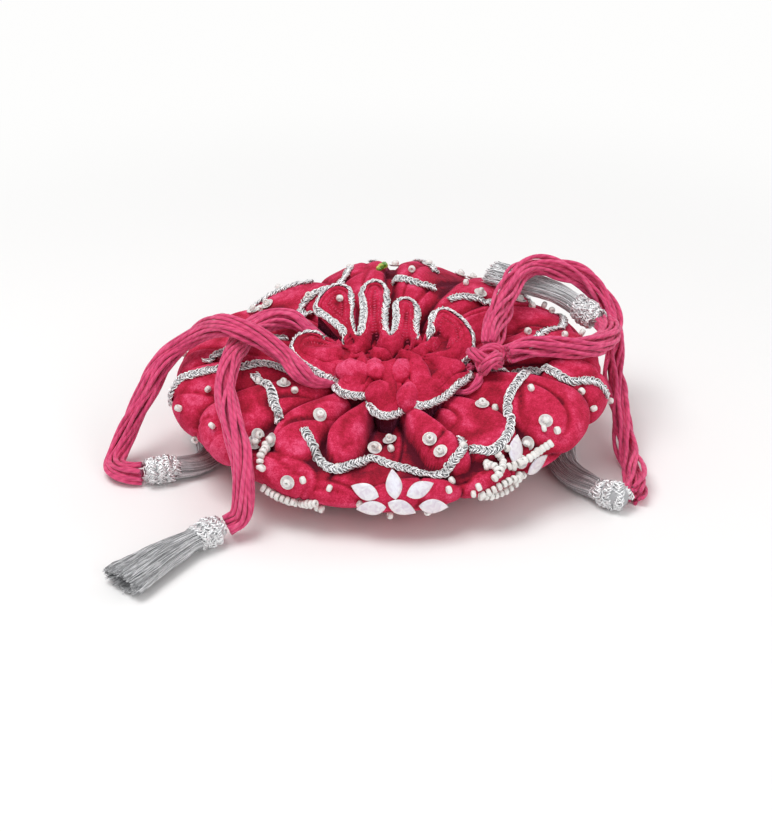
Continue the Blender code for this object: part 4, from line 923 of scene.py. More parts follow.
# Painted shade for the velvet: how far each point lies below the cloth softened over two widths darkens it in creases
# and lightens it on ridges.
softened, painted_shade = velvet_grid.copy(), 0.0
for step in range(1, max(SOFTENED_BY) + 1):
    high, low = np.roll(softened, -1, axis=0), np.roll(softened, 1, axis=0)
    high[-1], low[0] = softened[-1], softened[0]
    softened = (high + low + np.roll(softened, 1, axis=1) + np.roll(softened, -1, axis=1)) / 4
    if step in SOFTENED_BY:
        depth = ((softened - velvet_grid) * velvet_out).sum(axis=2) / MM
        painted_shade = painted_shade + np.clip(depth / SOFTENED_BY[step], *PAINTED_SHADE_RANGE)
# Painted shade: the whole belly is darkened, and the ruffle's cloth is kept from the lightest values and darkened a
# little.
painted_shade[:BELLY_ROWS] += 0.72
painted_shade[BELLY_ROWS:] = np.maximum(painted_shade[BELLY_ROWS:], -0.8) + 0.08


def distance_in_plan(points, line, closed=False):
    """Distance in plan from points to a line."""
    line = np.array(line, float)
    near = np.full(len(points), 1e9)
    for p, q in zip(line, np.roll(line, -1, axis=0)) if closed else zip(line, line[1:]):
        way = q - p
        t = np.clip((points - p) @ way / max(way @ way, 1e-12), 0.0, 1.0)
        near = np.minimum(near, np.linalg.norm(points - p - t[:, None] * way, axis=1))
    return near


def cushion_height(points):
    """Height of the ruffle's stuffed inside over points in plan, in mm, sunk where it lies in a crease."""
    from_rim = distance_in_plan(points, rim_plan, closed=True)
    from_crease = np.min([distance_in_plan(points, line) for line in CREASES], axis=0)
    front = smoothstep(0.5 - (points[:, 1] + 4.5) / 8.0)
    share = np.clip((from_rim - 1.6) / TONGUE_REACH, 0.0, 1.0)
    full = np.clip((points[:, 1] + 2.0) / 6.0, 0.0, 1.0)
    tongue = TONGUE_SWELL * np.sqrt(np.clip(from_rim / 3.6, 0.0, 1.0))
    tongue -= TONGUE_DROP * (1 - np.sqrt(1 - 0.92 * share**2)) * (1 - 0.5 * full)
    tongue -= 0.45 * np.exp(-((from_rim - HEM_AT) / 0.5) ** 2) + 0.3
    share = np.clip(from_rim / ROLL_REACH, 0.0, 1.0)
    roll = ROLL_RISE * np.sqrt(np.clip(1 - (1 - share) ** 2, 0.0, 1.0)) - 0.3
    crease = np.exp(-(from_crease / CREASE_WIDTH) ** 1.6)
    crumple = 0.8 * soft_noise(points[:, 0] / 64.0 + 0.5, points[:, 1] / 5.5, 12, 21)
    crumple += 0.35 * soft_noise(points[:, 0] / 64.0 + 0.5, points[:, 1] / 2.4, 27, 22)
    depth = CREASE_DROP * crease * np.clip(from_rim / 2.5, 0.0, 1.0)
    crumple *= np.clip(from_rim / 4.0 - 0.3, 0.0, 1.0)
    height = NECK_HEIGHT + NECK_LEAN * points[:, 1] + FRILL_RISE
    return height + tongue * (1 - front) + roll * front - depth + crumple


def within_rim(points):
    """Which points in plan lie inside the rim."""
    inside = np.zeros(len(points), bool)
    for p, q in zip(rim_plan, np.roll(rim_plan, -1, axis=0)):
        spans = (p[1] > points[:, 1]) != (q[1] > points[:, 1])
        crossing = p[0] + (points[:, 1] - p[1]) * (q[0] - p[0]) / (q[1] - p[1] if q[1] != p[1] else 1e-9)
        inside ^= spans & (points[:, 0] < crossing)
    return inside


def cushion_shell():
    """The ruffle's stuffed inside as a closed shell, with each point's painted shade: darker where it lies in a hollow.
    """
    low, high = rim_plan.min(axis=0) - 1.0, rim_plan.max(axis=0) + 1.0
    x, y = np.meshgrid(*(np.arange(low[k], high[k], CUSHION_STEP) for k in (0, 1)), indexing="ij")
    plan = np.column_stack((x.ravel(), y.ravel()))
    mask = within_rim(plan).reshape(x.shape)
    cells = mask[:-1, :-1] & mask[1:, :-1] & mask[:-1, 1:] & mask[1:, 1:]
    tops = np.where(mask, cushion_height(plan).reshape(x.shape), 0.0)
    smooth, weight, painted_shades = tops.copy(), mask.astype(float), 0.0
    for step in range(1, max(CUSHION_SOFTENED_BY) + 1):
        total, share = 0.0, 1e-9
        for way, axis in ((1, 0), (-1, 0), (1, 1), (-1, 1)):
            near = np.roll(weight, way, axis=axis)
            total, share = total + near * np.roll(smooth, way, axis=axis), share + near
        smooth = np.where(mask, total / share, 0.0)
        if step in CUSHION_SOFTENED_BY:
            painted_shades = painted_shades + np.clip((smooth - tops) / CUSHION_SOFTENED_BY[step], *PAINTED_SHADE_RANGE)
    used = np.zeros(mask.shape, bool)
    for i, j in ((0, 0), (1, 0), (0, 1), (1, 1)):
        used[i:i + cells.shape[0], j:j + cells.shape[1]] |= cells
    number = np.full(mask.shape, -1)
    number[used] = np.arange(used.sum())
    spots = np.column_stack((x[used], y[used], tops[used]))
    floor_of = np.minimum(NECK_HEIGHT + NECK_LEAN * spots[:, 1] + 3.0, spots[:, 2] - 1.0)
    spots = np.vstack((spots, np.column_stack((spots[:, :2], floor_of))))
    corners = [number[:-1, :-1][cells], number[1:, :-1][cells], number[1:, 1:][cells], number[:-1, 1:][cells]]
    upper = np.stack(corners, axis=-1)
    count = int(used.sum())
    faces = upper.tolist() + (upper[:, ::-1] + count).tolist()
    sides = {}
    for quad in upper.tolist():
        for a, b in zip(quad, quad[1:] + quad[:1]):
            sides[(a, b)] = (b, a) not in sides
            if (b, a) in sides:
                sides[(a, b)] = sides[(b, a)] = False
    faces += [[b, a, a + count, b + count] for (a, b), edge_of in sides.items() if edge_of]
    return spots * MM, faces, np.concatenate((painted_shades[used], painted_shades[used]))


def puff_shells():
    """Closed puffs of the gathered cloth that hang over the rim where two front lobes meet, with their painted shade.
    """
    points, faces, painted_shades = [], [], []
    turn, tilt = np.meshgrid(np.arange(PUFF_COLUMNS) * 360.0 / PUFF_COLUMNS, np.linspace(-86.0, 86.0, PUFF_ROWS))
    a, b = np.radians(turn), np.radians(tilt)
    for number, (px, py, wide, deep, high, lean) in enumerate(PUFFS):
        swell = 1 + PUFF_SWELL * soft_noise(turn / 360.0, (tilt + 90) / 60.0, 6, 50 + number)
        swell += PUFF_CRUMPLE * soft_noise(turn / 360.0, (tilt + 90) / 20.0, 19, 60 + number)
        x, y, z = np.cos(b) * np.cos(a) * wide * swell, np.cos(b) * np.sin(a) * deep * swell, np.sin(b) * high * swell
        c, s = math.cos(math.radians(lean)), math.sin(math.radians(lean))
        lift = NECK_HEIGHT + NECK_LEAN * py + FRILL_RISE + PUFF_LIFT
        points.append(np.stack((px + x * c - y * s, py + x * s + y * c, z + lift), axis=-1).reshape(-1, 3) * MM)
        first = number * PUFF_ROWS * PUFF_COLUMNS
        faces += tube_faces(PUFF_ROWS, PUFF_COLUMNS, first) + lids(PUFF_ROWS, PUFF_COLUMNS, first)
        # Painted light: each puff is lighter towards its top and darker towards its underside.
        painted_shades.append(np.clip(-1.1 - 0.7 * np.sin(b), -1.7, 0.3).ravel())
    return np.vstack(points), faces, np.concatenate(painted_shades)


def velvet_surface_of(where):
    """Short cut pile, crimson on the flats: painted shade darkens it to deep red in the creases and over the belly, and
    a painted highlight turns it pink on ridges and on the ruffle's top.
    """
    pile, tufts = noise(where, 1700.0, 3.0, Roughness=0.7), noise(where, 520.0)
    brushed = noise(where, 60.0, 4.0, Distortion=1.4)
    # The painted shade attribute darkens the colour in creases, as painted shade, and lifts it to pink on ridges, as a
    # painted highlight.
    shade = node(where.tree, "ShaderNodeAttribute", take="Fac", attribute_name="painted_shade") * -0.18 + 0.44
    for texture, weight in ((pile, 0.7), (brushed, 0.95), (tufts, 0.4)):
        shade = shade + (texture - 0.5) * weight
    colour = ramp(shade, (0.0, (0.1, 0.005, 0.016)), (0.25, (0.28, 0.01, 0.027)), (0.45, (0.44, 0.014, 0.042)),
                  (0.68, (0.66, 0.028, 0.09)), (1.0, (0.95, 0.13, 0.28)))
    return {"Base Color": colour, "Roughness": 0.9, "Specular IOR Level": 0.15, "Sheen Weight": 0.4,
            "Sheen Roughness": 0.32, "Sheen Tint": (1.0, 0.2, 0.45, 1.0),
            "Normal": bump(pile + tufts * 0.8, 0.7, 0.0004)}


cushion_points, cushion_faces, cushion_painted_shade = cushion_shell()
puff_points, puff_faces, puff_painted_shade = puff_shells()
bag_points = velvet_grid.reshape(-1, 3)
bag_faces = tube_faces(len(velvet_grid), COLUMNS) + lids(len(velvet_grid), COLUMNS)
for more_points, more_faces in ((cushion_points, cushion_faces), (puff_points, puff_faces)):
    bag_faces += [[v + len(bag_points) for v in face] for face in more_faces]
    bag_points = np.vstack((bag_points, more_points))
bag = mesh_piece("velvet_bag_cloth", bag_points, bag_faces, material("crimson_velvet", velvet_surface_of))
# The cushion's painted shade is made stronger in its creases and the whole cushion is lightened: painted shade and
# painted light.
bag.data.attributes.new("painted_shade", "FLOAT", "POINT").data.foreach_set(
    "value", np.concatenate((painted_shade.ravel(), np.maximum(1.8 * cushion_painted_shade, -0.4) - 0.3, puff_painted_shade)))
velvet_surface = BVHTree.FromPolygons(bag_points.tolist(), bag_faces)
carry(bag, "velvet", "velvet_bag")

# Facing stitches: overcast stitches in pink thread hold the facing's raw edge inside the ruffle, and a line of running
# stitches follows its middle.
STITCH_THREAD_RADIUS, RUNNING_AT = 0.16, HEM_AT - 1.2


def stitch_tree():
    """Short stitches set on a path, turned from its direction by a given angle."""
    tree, given = new_tree("stitches", {"Spacing": 0.0012, "Length": 0.001, "Thread Radius": 0.00016, "Turn": 0.0,
                                        "Uneven": 0.2, "Seed": 1})
    bead = node(tree, "GeometryNodeMeshUVSphere", {"Segments": 6, "Rings": 5, "Radius": 1.0})
    odd = uneven(given)
    size = node(tree, "ShaderNodeCombineXYZ", {0: given["Thread Radius"], 1: given["Thread Radius"],
                                               2: given["Length"] * 0.5 * odd})
    up = attribute(tree, "up", "FLOAT_VECTOR")
    turned = node(tree, "ShaderNodeVectorRotate", {"Vector": node(tree, "GeometryNodeInputTangent"), "Axis": up,
                                                   "Angle": given["Turn"]}, rotation_type="AXIS_ANGLE")
    way = node(tree, "FunctionNodeAxesToRotation", {0: turned, 1: up}, primary_axis="Z", secondary_axis="X")
    return closed_tree(given, set_on(path_of(given, given["Spacing"]), bead, way, size))


def uneven(given):
    """A random size between 1 - Uneven and 1 + Uneven."""
    return chance_of(given["Seed"].tree, given["Uneven"] * -1.0 + 1.0, given["Uneven"] + 1.0, given["Seed"])


def set_on(points, bead, rotation, scale):
    return node(points.tree, "GeometryNodeInstanceOnPoints", {"Points": points, "Instance": bead, "Rotation": rotation,
                                                              "Scale": scale})


def thread_surface(where):
    lay = noise(where, 2500.0)
    return {"Base Color": ramp(lay, (0.3, (0.4, 0.012, 0.05)), (0.7, (0.8, 0.08, 0.2))), "Roughness": 0.5,
            "Normal": bump(lay, 0.4, 0.0001)}


def inside_rim_runs(distance):
    """Lines on the back lobes' inner side at a distance from the rim in mm, broken where the folds close on it."""
    line = rim_plan + np.column_stack((-rim_along[:, 1], rim_along[:, 0])) * distance
    clear = (distance_in_plan(line, rim_plan, closed=True) > 0.96 * distance) & (line[:, 1] > -3.0) & within_rim(line)
    places = np.column_stack((line, cushion_height(line) + 0.05)) * MM
    runs, start = [], None
    for k in range(len(line) + 1):
        good = k < len(line) and clear[k]
        if good and start is None:
            start = k
        if not good and start is not None:
            if k - start > 8:
                run = places[start:k]
                ups = np.array([velvet_surface.find_nearest(Vector(p))[1] for p in run])
                runs.append((run, ups * np.sign(ups[:, 2:3] + 1e-9), 0.0, 0.0))
            start = None
    return runs


rim_along = unit(np.roll(rim_plan, -1, axis=0) - np.roll(rim_plan, 1, axis=0))
sewing_thread, stitches = material("pink_sewing_thread", thread_surface), stitch_tree()
for stitch_name, distance, sizes in (
    ("facing_overcast", FACING_WIDTH, {"Spacing": 0.0013, "Turn": math.pi / 2, "Seed": 3}),
    ("facing_running", RUNNING_AT, {"Spacing": 0.0021, "Turn": 0.0, "Seed": 4}),
):
    carry(grown(stitch_name, path_piece(inside_rim_runs(distance)), stitches, sewing_thread, {
        "Thread Radius": STITCH_THREAD_RADIUS * MM, "Uneven": 0.25, "Length": 0.0012, **sizes}), "cotton_yarn")

# Rim braid: a knitted tube of silver thread, pressed flat and sewn over the ruffle's raw edge all the way round. It is
# tucked in where two front lobes meet.
TUCK = 3.4
RIM_BRAID = {"Width": 0.0031, "Thickness": 0.001, "Curl": 0.0004, "Thread Radius": 0.00023, "Threads": 10,
             "Uneven": 0.0008}
RIM_PITCH, RIM_LIFT, FRONT_LIFT, RIM_THREADS_LIFT = 0.0105, 1.55, 0.5, 0.35
RIM_GROUND, GROUND_SIDES = (1.4, 0.4), 10


def softer(rows, weight, times):
    """Rows of a ring, each evened out with its two neighbours."""
    for _ in range(times):
        rows = (weight * rows + np.roll(rows, 1, axis=0) + np.roll(rows, -1, axis=0)) / (weight + 2)
    return rows


flopped = front_of(rim_plan)[:, None]
outward = softer(np.column_stack((0.8 * rim_along[:, 1], -0.8 * rim_along[:, 0], np.full(COLUMNS, 0.6))), 1, 6)
rim_up = unit(rim_rise * (1 - flopped) + outward * flopped)
tucked = softer(np.clip((rim_notch[:, None] - 0.5) / 0.35, 0.0, 1.0) * flopped, 1, 4)
inward = np.column_stack((-rim_along[:, 1], rim_along[:, 0], np.full(COLUMNS, -0.3)))
rim_centres = softer(edge_middle + (rim_up * (RIM_LIFT + FRONT_LIFT * flopped) + inward * tucked * TUCK) * MM, 2, 5)
rim_across = unit(np.cross(rim_up, tangents_of(rim_centres, True)))
rim_over = unit(np.cross(tangents_of(rim_centres, True), rim_across))
# Its ground is the near-black painted shade of the gaps between the threads.
rim_ground = sweep("rim_braid_ground", [(rim_centres, rim_across, rim_over, *(half * MM for half in RIM_GROUND))],
                   painted_shade_ground, GROUND_SIDES, closed=True)
rim_length = walk(rim_centres, True)[1]
rim_path = path_piece([(rim_centres + rim_up * RIM_THREADS_LIFT * MM, rim_up, 0.0, 0.0)], closed=True)
rim_plait = grown("rim_braid_threads", rim_path, braid_tree, silver_thread,
                  {**RIM_BRAID, "Pitch": rim_length / round(rim_length / RIM_PITCH)})
carry(rim_ground, "silver_thread")
carry(rim_plait, "silver_thread", "rim_braid")

# Lattice braid: the same braid, laid flat in a trellis over the belly. It bridges the creases between the pleats.
LATTICE_WIDTH, LATTICE_SPACING = 4.4, 1.1
LATTICE_BRAID = {"Width": 0.0037, "Thickness": 0.0011, "Pitch": 0.0125, "Curl": 0.0003, "Thread Radius": 0.00023,
                 "Threads": 10, "Uneven": 0.0009}
GROUND_LIFT, THREADS_LIFT, LATTICE_GROUND, RAY_START = 0.45, 0.75, (1.75, 0.3), 9.0
LATTICE_RUNS = {
    "left_top": ((189, 3.1), (189, 3.7), (191, 4.1), (192, 4.6), (193, 5.1), (191, 5.5), (196, 5.9)),
    "left_down": ((197, 5.2), (208, 5.3), (217, 5.1), (228, 4.8)),
    "front": ((236, 4.9), (243, 4.5), (250, 4.3), (256, 4.6), (262, 5.0), (270, 4.8), (277, 4.6), (284, 4.2),
              (289, 4.2), (294, 4.5), (296, 4.9)),
    "right_down": ((345, 5.2), (339, 5.2), (329, 5.2), (323, 5.0), (314, 4.5), (306, 4.3), (300, 4.6)),
    "right_outer": ((340, 5.8), (350, 5.5), (353, 5.1), (348, 4.7), (346, 4.3), (349, 3.8), (350, 3.3)),
    "right_back": ((0, 5.2), (7, 5.0), (14, 4.5), (24, 3.9), (34, 3.4)),
    "back_right": ((50, 6.0), (45, 5.7), (38, 5.4), (30, 5.4)),
    "back_crest": ((87, 5.7), (83, 5.8), (77, 5.9), (71, 5.9), (64, 5.7)),
    "back_left": ((141, 5.7), (137, 5.3), (132, 5.1), (126, 5.2), (119, 5.5), (112, 5.1), (107, 4.6)),
    "left_back": ((184, 4.3), (178, 4.9), (171, 5.4), (165, 5.8)),
    "rear_1": ((38, 3.3), (45, 3.8), (51, 4.3)),
    "rear_2": ((68, 5.0), (78, 4.2), (88, 3.4), (98, 4.2)),
    "rear_3": ((122, 4.5), (134, 3.8), (146, 3.3), (158, 3.7), (170, 4.1)),
}


def height_over(point, normal):
    """Height of the velvet over a point along a normal, in metres."""
    hit = velvet_surface.ray_cast(Vector(point + normal * RAY_START * MM), Vector(-normal), 2 * RAY_START * MM)
    return RAY_START * MM - hit[3] if hit[0] else 0.0


def normals_near(run, reach):
    """The velvet's normals along a run, averaged over a few points on either side."""
    found = np.array([velvet_surface.find_nearest(Vector(p))[1] for p in run])
    return unit(np.array([found[max(i - reach, 0):i + reach + 1].sum(axis=0) for i in range(len(run))]))


def laid_on_velvet(points, width):
    """Centres and up vectors of a tape of a given width that lies over the pleats."""
    run = spaced(belly_line(points) / MM, LATTICE_SPACING) * MM
    normals = normals_near(run, round(7.0 / LATTICE_SPACING))
    side = unit(np.cross(normals, tangents_of(run)))
    heights = np.array([[height_over(p + s * width / 2 * k, n) for k in np.linspace(-1, 1, 9)]
                        for p, s, n in zip(run, side, normals)])
    near = np.array([heights[max(i - 3, 0):i + 4].max(axis=0) for i in range(len(run))])
    left, middle, right = near[:, :5].max(axis=1), near[:, 2:7].max(axis=1), near[:, 4:].max(axis=1)
    left, middle, right = (np.convolve(np.pad(v, 2, mode="edge"), np.ones(5) / 5, "valid")
                           for v in (left, middle, right))
    centres = run + normals * np.maximum(middle, (left + right) / 2)[:, None]
    tilt = ((right - left) / width)[:, None]
    return centres, unit(normals - side * tilt)


lattice_lines = {run: laid_on_velvet(points, LATTICE_WIDTH * MM) for run, points in LATTICE_RUNS.items()}
# Its ground is the near-black painted shade of the gaps between the threads.
lattice_ground = sweep("lattice_braid_ground", [
    (c + u * GROUND_LIFT * MM, unit(np.cross(u, tangents_of(c))), u, *(half * MM for half in LATTICE_GROUND))
    for c, u in lattice_lines.values()], painted_shade_ground, GROUND_SIDES)
lattice_threads = grown(
    "lattice_braid_threads", path_piece([(c + u * THREADS_LIFT * MM, u, 0.0, 0.0) for c, u in lattice_lines.values()]),
    braid_tree, silver_thread, LATTICE_BRAID)
carry(lattice_ground, "silver_thread")
carry(lattice_threads, "silver_thread", *("lattice_" + run for run in LATTICE_RUNS))

# Sequins: cupped discs of white plastic, sewn down through the hole with a seed bead on top. Those on the crests at
# the back are seen edge on.
SEQUINS = {
    "sequin_1": (207, 5.6), "sequin_2": (220, 4.1), "sequin_3": (235, 5.5), "sequin_4": (262, 5.45),
    "sequin_5": (270, 5.8), "sequin_6": (285, 5.15), "sequin_7": (318, 5.5), "sequin_8": (325, 4.15),
}
SEQUIN_RADIUS, SEQUIN_HOLE, SEQUIN_SIDES = 3.0, 0.5, 20
SEQUIN_PROFILE = (
    (SEQUIN_HOLE, 0.0), (1.1, 0.0), (2.1, 0.1), (2.7, 0.42), (SEQUIN_RADIUS, 0.72), (SEQUIN_RADIUS - 0.05, 0.84),
    (2.6, 0.56), (2.0, 0.24), (1.1, 0.14), (SEQUIN_HOLE, 0.14),
)
SEQUIN_GAP, SEARCH_STEPS, SEARCH_SHARE, SEARCH_ABOVE, VIEW_REACH = 0.15, 60, 0.01, 20, 3.0
LOOSE_SEQUINS = (
    (277, 287), (268, 305), (310, 298), (428, 266), (460, 276), (480, 294), (216, 315), (532, 442), (256, 436),
    (441, 452), (273, 440), (288, 482), (520, 462),
)
BACK_SEQUINS = ((35, 4.6), (62, 3.9), (88, 4.6), (118, 3.6), (150, 4.5), (168, 3.0), (20, 3.2))


def seen_at(px, py):
    """Place and normal of the velvet that the camera sees at a pixel of the picture, or the nearest one inside it."""
    bpy.context.view_layer.update()
    focal, middle = LENS / SENSOR * PICTURE[0], (PICTURE[0] / 2, PICTURE[1] / 2)
    for step in range(SEARCH_STEPS):
        x, y = (p + (m - p) * step * SEARCH_SHARE for p, m in ((px, middle[0]), (py, middle[1] - SEARCH_ABOVE)))
        way = Vector(((x - middle[0]) / focal, (middle[1] - y) / focal, -1.0)).normalized()
        way = camera.matrix_world.to_3x3() @ way
        hit = velvet_surface.ray_cast(camera.location, way, VIEW_REACH)
        if hit[0]:
            return np.array(hit[0]), normals_near([hit[0]], 0)[0]
    raise ValueError("no velvet near this pixel")


def velvet_at(angle, station):
    """Place and normal of the velvet at a direction and station of the belly."""
    spot = belly_surface(np.array([angle], float), np.array([station], float))[0]
    near, normal = velvet_surface.find_nearest(Vector(spot))[:2]
    return np.array(near), np.array(normal)


def flat_ways(normal):
    """Two directions across a normal."""
    side = unit(np.cross(normal, (0.2, 0.1, 1.0)))
    return side, np.cross(normal, side)


def seated(spot, normal, radius):
    """Where a disc clears the velvet under it."""
    side, other = flat_ways(normal)
    around = [spot + (side * math.cos(t) + other * math.sin(t)) * radius for t in np.linspace(0, 2 * math.pi, 9)[:-1]]
    lift = sorted(height_over(p, normal) for p in around)[5]
    return spot + normal * (max(lift, 0.0) + SEQUIN_GAP * MM)


def turned_discs(name, places, profile, finish, segments):
    """Closed rings turned from one profile about each place's normal; the profile gives radius and height in mm."""
    points, faces = [], []
    turn = (2 * math.pi * np.arange(segments) / segments)[:, None]
    for spot, normal in places:
        side, other = flat_ways(normal)
        faces += tube_faces(len(profile), segments, len(points) * segments, closed=True)
        points += [spot + (side * np.cos(turn) + other * np.sin(turn)) * r * MM + normal * z * MM for r, z in profile]
    return mesh_piece(name, np.vstack(points), faces, finish)


def pearl_surface(where, base, tone, film):
    """Pale pearly surface: a soft cloudy tone, a hard gloss and a thin film that shifts pink and blue."""
    return {"Base Color": ramp(noise(where, 330.0, 3.0, Distortion=1.2), (0.3, tone), (0.62, base)), "Roughness": 0.18,
            "Coat Weight": 0.5, "Coat Roughness": 0.08, "Thin Film Thickness": film,
            "Normal": bump(noise(where, 1400.0), 0.12, 0.0002)}


sequin_white = material("sequin_white", pearl_surface, (0.88, 0.87, 0.86), (0.7, 0.66, 0.7), 280.0)
sewn, loose = ([(seated(spot, normal, SEQUIN_RADIUS * MM), normal) for spot, normal in found] for found in (
    [velvet_at(*spot) for spot in SEQUINS.values()],
    [seen_at(*pixel) for pixel in LOOSE_SEQUINS] + [velvet_at(*spot) for spot in BACK_SEQUINS]))
carry(turned_discs("sewn_sequins", sewn, SEQUIN_PROFILE, sequin_white, SEQUIN_SIDES), "mother_of_pearl", *SEQUINS)
carry(turned_discs("more_sequins", loose, SEQUIN_PROFILE, sequin_white, SEQUIN_SIDES), "mother_of_pearl")

# Seed beads: opaque white glass beads of about 3.5 mm, sewn on one at a time all over the belly, on the sequins, and
# strung in curved rows beside the flower.
SEED_RADIUS, SEED_HOLE, STRING_SPACING, STRING_GAP = 1.7, 0.45, 2.25, 0.1
ON_VELVET, ON_SEQUIN, SEQUIN_RISE, BEAD_LEAN, UNDER_STRING = 0.8, 0.78, 0.3, 0.9, (-1.3, 0.0, 1.3)
SINGLE_BEADS = (
    (261, 311), (223, 323), (209, 390), (258, 383), (213, 427), (181, 408), (238, 469), (264, 468), (302, 481),
    (339, 470), (453, 481), (462, 447), (505, 448), (544, 429), (556, 431), (524, 477), (531, 390), (580, 392),
    (531, 307), (548, 305), (564, 337), (528, 334), (466, 285), (359, 502), (390, 512), (428, 511), (473, 492),
    (478, 486), (391, 451), (496, 409), (294, 392), (513, 470), (487, 470), (448, 490), (330, 488), (246, 452),
    (196, 437), (592, 408), (575, 300), (340, 300),
)
BACK_BEADS = (
    (30, 2.2), (48, 3.0), (70, 2.4), (92, 2.0), (110, 3.0), (132, 2.2), (155, 2.4), (172, 3.6), (12, 4.0), (355, 3.0),
    (42, 4.9), (78, 5.4), (105, 3.9), (140, 4.1), (160, 5.2), (60, 1.6), (125, 1.6), (5, 1.9), (98, 1.2), (26, 1.2),
)
BEAD_STRINGS = {
    "bead_string_left": ((225, 4.2), (228, 3.9), (231, 3.5)),
    "bead_string_left_low": ((232, 3.0), (236, 2.8), (240, 2.7), (245, 2.6), (249, 2.6)),
    "bead_string_right": ((303, 4.0), (303.6, 3.75), (302.6, 3.45)),
    "bead_string_right_low": ((297, 3.1), (301, 3.0), (306, 3.0), (311, 3.05)),
    "bead_string_right_side": ((323, 3.62), (319.5, 3.58), (316, 3.52)),
}
MORE_STRINGS = (
    ((270, 489), (281, 495), (292, 500)), ((300, 503), (309, 503), (317, 500)),
    ((497, 455), (502, 463), (500, 472), (493, 479)), ((482, 492), (495, 486), (508, 479), (520, 472)),
    ((536, 452), (527, 459), (517, 464), (508, 468)),
)


def bead_tree():
    """Round glass beads with a hole, each set on a point with the hole along a given way."""
    tree, given = new_tree("seed_beads", {"Bead Radius": 0.0017, "Hole Radius": 0.00045, "Length": 1.75, "Uneven": 0.07,
                                          "Seed": 1})
    wall = (given["Bead Radius"] - given["Hole Radius"]) * 0.5
    ring = node(tree, "GeometryNodeCurveToMesh", {"Curve": ring_of(tree, 12, given["Hole Radius"] + wall),
                                                  "Profile Curve": ring_of(tree, 7, wall)})
    tall = node(tree, "ShaderNodeCombineXYZ", {0: 1.0, 1: 1.0, 2: given["Length"]})
    bead = node(tree, "GeometryNodeTransform", {"Geometry": ring, "Scale": tall})
    way = node(tree, "FunctionNodeAlignRotationToVector", {"Vector": attribute(tree, "up", "FLOAT_VECTOR")}, axis="Z")
    return closed_tree(given, set_on(given["Start"], bead, way, uneven(given)))


def bead_surface(where, colour, tone, rough):
    return {"Base Color": ramp(noise(where, 190.0, 1.0), (0.35, tone), (0.6, colour)), "Roughness": rough,
            "Subsurface Weight": 0.15, "Subsurface Radius": (0.001, 0.0008, 0.0008),
            "Normal": bump(noise(where, 1800.0, 1.0), 0.08, 0.0002)}


def strung(run):
    """Beads a step apart along a run on the velvet, with the hole along it."""
    normals, along = normals_near(run, 2), tangents_of(run)
    lift = [max(height_over(p + np.cross(n, t) * k * MM, n) for k in UNDER_STRING)
            for p, n, t in zip(run, normals, along)]
    return list(zip(run + normals * (np.array(lift) + (SEED_RADIUS + STRING_GAP) * MM)[:, None], along))


white_beads = material("white_seed_beads", bead_surface, (0.9, 0.885, 0.86), (0.78, 0.75, 0.72), 0.22)
beads, chance = bead_tree(), np.random.default_rng(17)
single = [seen_at(*pixel) for pixel in SINGLE_BEADS] + [velvet_at(*spot) for spot in BACK_BEADS]
single = [(spot + normal * SEED_RADIUS * ON_VELVET * MM, unit(np.cross(normal, chance.normal(size=3))))
          for spot, normal in single]
on_sequins = [(spot + normal * (SEED_RADIUS * ON_SEQUIN + SEQUIN_RISE) * MM,
               unit(normal + BEAD_LEAN * np.cross(normal, chance.normal(size=3)))) for spot, normal in sewn + loose]
strings, more = [], []
for points in BEAD_STRINGS.values():
    strings += strung(spaced(belly_line(points) / MM, STRING_SPACING) * MM)
for points in MORE_STRINGS:
    more += strung(spaced(np.array([seen_at(*pixel)[0] for pixel in points]) / MM, STRING_SPACING) * MM)
for number, (bead_name, places, length, nodes) in enumerate((
    ("single_beads", single, 1.8, ()), ("sequin_beads", on_sequins, 1.8, ()),
    ("bead_strings", strings, 1.6, BEAD_STRINGS), ("more_bead_strings", more, 1.6, ()),
)):
    start = path_piece([(place[None], way[None], 0.0, 0.0) for place, way in places])
    carry(grown(bead_name, start, beads, white_beads, {
        "Bead Radius": SEED_RADIUS * MM, "Hole Radius": SEED_HOLE * MM, "Length": length, "Seed": number + 1}),
        "white_seed_beads", *nodes)

# Shell flower: leaf-shaped chips of mother of pearl laid as the petals of a flower at the front, with two more on the
# right.
PETAL_LENGTH, PETAL_WIDTH, PETAL_THICKNESS, PETAL_LEAN = 12.6, 6.8, 1.1, 1.6
PETAL_SAMPLES, PETAL_GAP = 15, 0.1
PETAL_LAYERS = ((0.94, 0.0), (1.0, 0.3), (0.99, 0.62), (0.9, 0.9), (0.6, 1.0), (0.25, 1.06))
FLOWER_PETALS = {
    "top": ((269.5, 4.15), 90), "upper_left": ((262.5, 3.65), 170), "upper_right": ((277.5, 3.65), 12),
    "lower_left": ((263.8, 3.05), 190), "right": ((281.5, 3.1), 350), "middle": ((272, 3.15), 335),
    "side_upper": ((314, 4.2), 60), "side_lower": ((318.5, 3.0), 20),
}


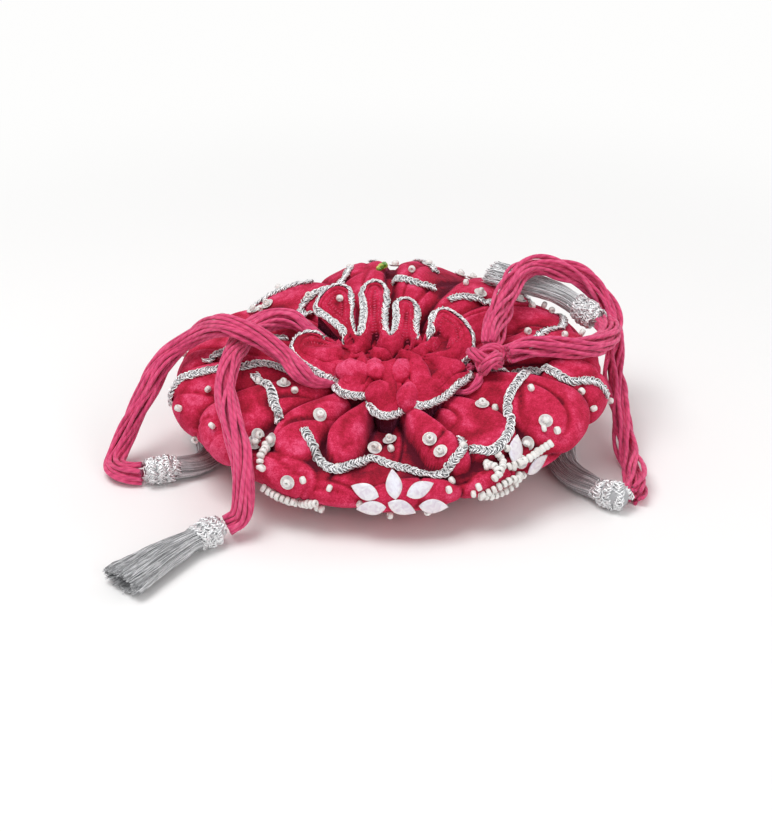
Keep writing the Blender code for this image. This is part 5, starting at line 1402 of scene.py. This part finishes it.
def petal(name, spot, normal, spin):
    """One pointed leaf of shell, widest just inside its middle, with a bevelled edge and a low ridge along it."""
    normal = unit(normal + PETAL_LEAN * np.append(spot[:2] / np.linalg.norm(spot[:2]), 0.2))
    level = unit(np.cross((0.0, 0.0, 1.0), normal))
    turn = math.radians(spin)
    along = level * math.cos(turn) + np.cross(normal, level) * math.sin(turn)
    over = np.cross(normal, along)
    t = np.linspace(0.0, 1.0, PETAL_SAMPLES)
    upper = np.column_stack((t - 0.5, 0.5 * np.sin(math.pi * t**0.85) ** 0.9))
    outline = np.vstack((upper, upper[-2:0:-1] * (1, -1)))
    heights = [height_over(spot + (along * x * PETAL_LENGTH + over * y * PETAL_WIDTH) * k * MM, normal)
               for x, y in outline[::3] for k in (0.35, 0.8)]
    base = spot + normal * (sorted(heights)[-2] + PETAL_GAP * MM)
    rings = []
    for scale, height in PETAL_LAYERS:
        place = outline * (PETAL_LENGTH * (0.12 + 0.88 * scale), PETAL_WIDTH * scale)
        rings.append(base + (np.outer(place[:, 0], along) + np.outer(place[:, 1], over)
                             + normal * height * PETAL_THICKNESS) * MM)
    faces = tube_faces(len(rings), len(outline)) + lids(len(rings), len(outline))
    return mesh_piece(name, np.vstack(rings), [face[::-1] for face in faces], pearl_shell)


pearl_shell = material("pearl_shell", pearl_surface, (0.9, 0.89, 0.9), (0.74, 0.66, 0.74), 330.0)
for petal_name, (spot, spin) in FLOWER_PETALS.items():
    carry(petal("petal_" + petal_name, *velvet_at(*spot), spin), "mother_of_pearl", "shell_petal_" + petal_name)

# Green beads: five faceted glass beads on the far crest, two of them on top of the other three.
FACETED_BEADS_AT, FACETED_RADIUS, FACETED_LENGTH = (95, 5.2), 1.35, 2.3
FACETED_GAP, FACETED_RISE, FACETED_TWIST = 0.2, 1.1, 0.5
FACETED_SLICES, FACETS = ((-0.5, 0.45), (-0.23, 1.0), (0.23, 1.0), (0.5, 0.45)), 6


def green_surface(where):
    return {"Base Color": ramp(noise(where, 420.0, 1.0), (0.4, (0.1, 0.3, 0.02)), (0.6, (0.62, 0.62, 0.1))),
            "Roughness": 0.06, "Coat Weight": 0.6}


green_spot, green_normal = velvet_at(*FACETED_BEADS_AT)
green_way = unit(np.cross((0.0, 0.0, 1.0), green_normal))
green_points, green_faces = [], []
for k in range(5):
    centre = green_spot + green_normal * (FACETED_RADIUS + FACETED_GAP + FACETED_RISE * (k > 2)) * MM
    centre = centre + green_way * FACETED_LENGTH * (k - 1 if k < 3 else k - 3.5) * MM
    upward = np.cross(green_way, green_normal)
    first = len(green_points)
    green_points += [centre + green_way * slice_at * FACETED_LENGTH * MM
                     + (green_normal * math.cos(t) + upward * math.sin(t)) * slice_radius * FACETED_RADIUS * MM
                     for slice_at, slice_radius in FACETED_SLICES
                     for t in 2 * math.pi / FACETS * np.arange(FACETS) + FACETED_TWIST * k]
    green_faces += tube_faces(len(FACETED_SLICES), FACETS, first) + lids(len(FACETED_SLICES), FACETS, first)
green_beads = mesh_piece("green_beads", green_points, green_faces, material("green_glass", green_surface))
green_beads.data.shade_flat()
carry(green_beads, "green_beads", "faceted_beads")
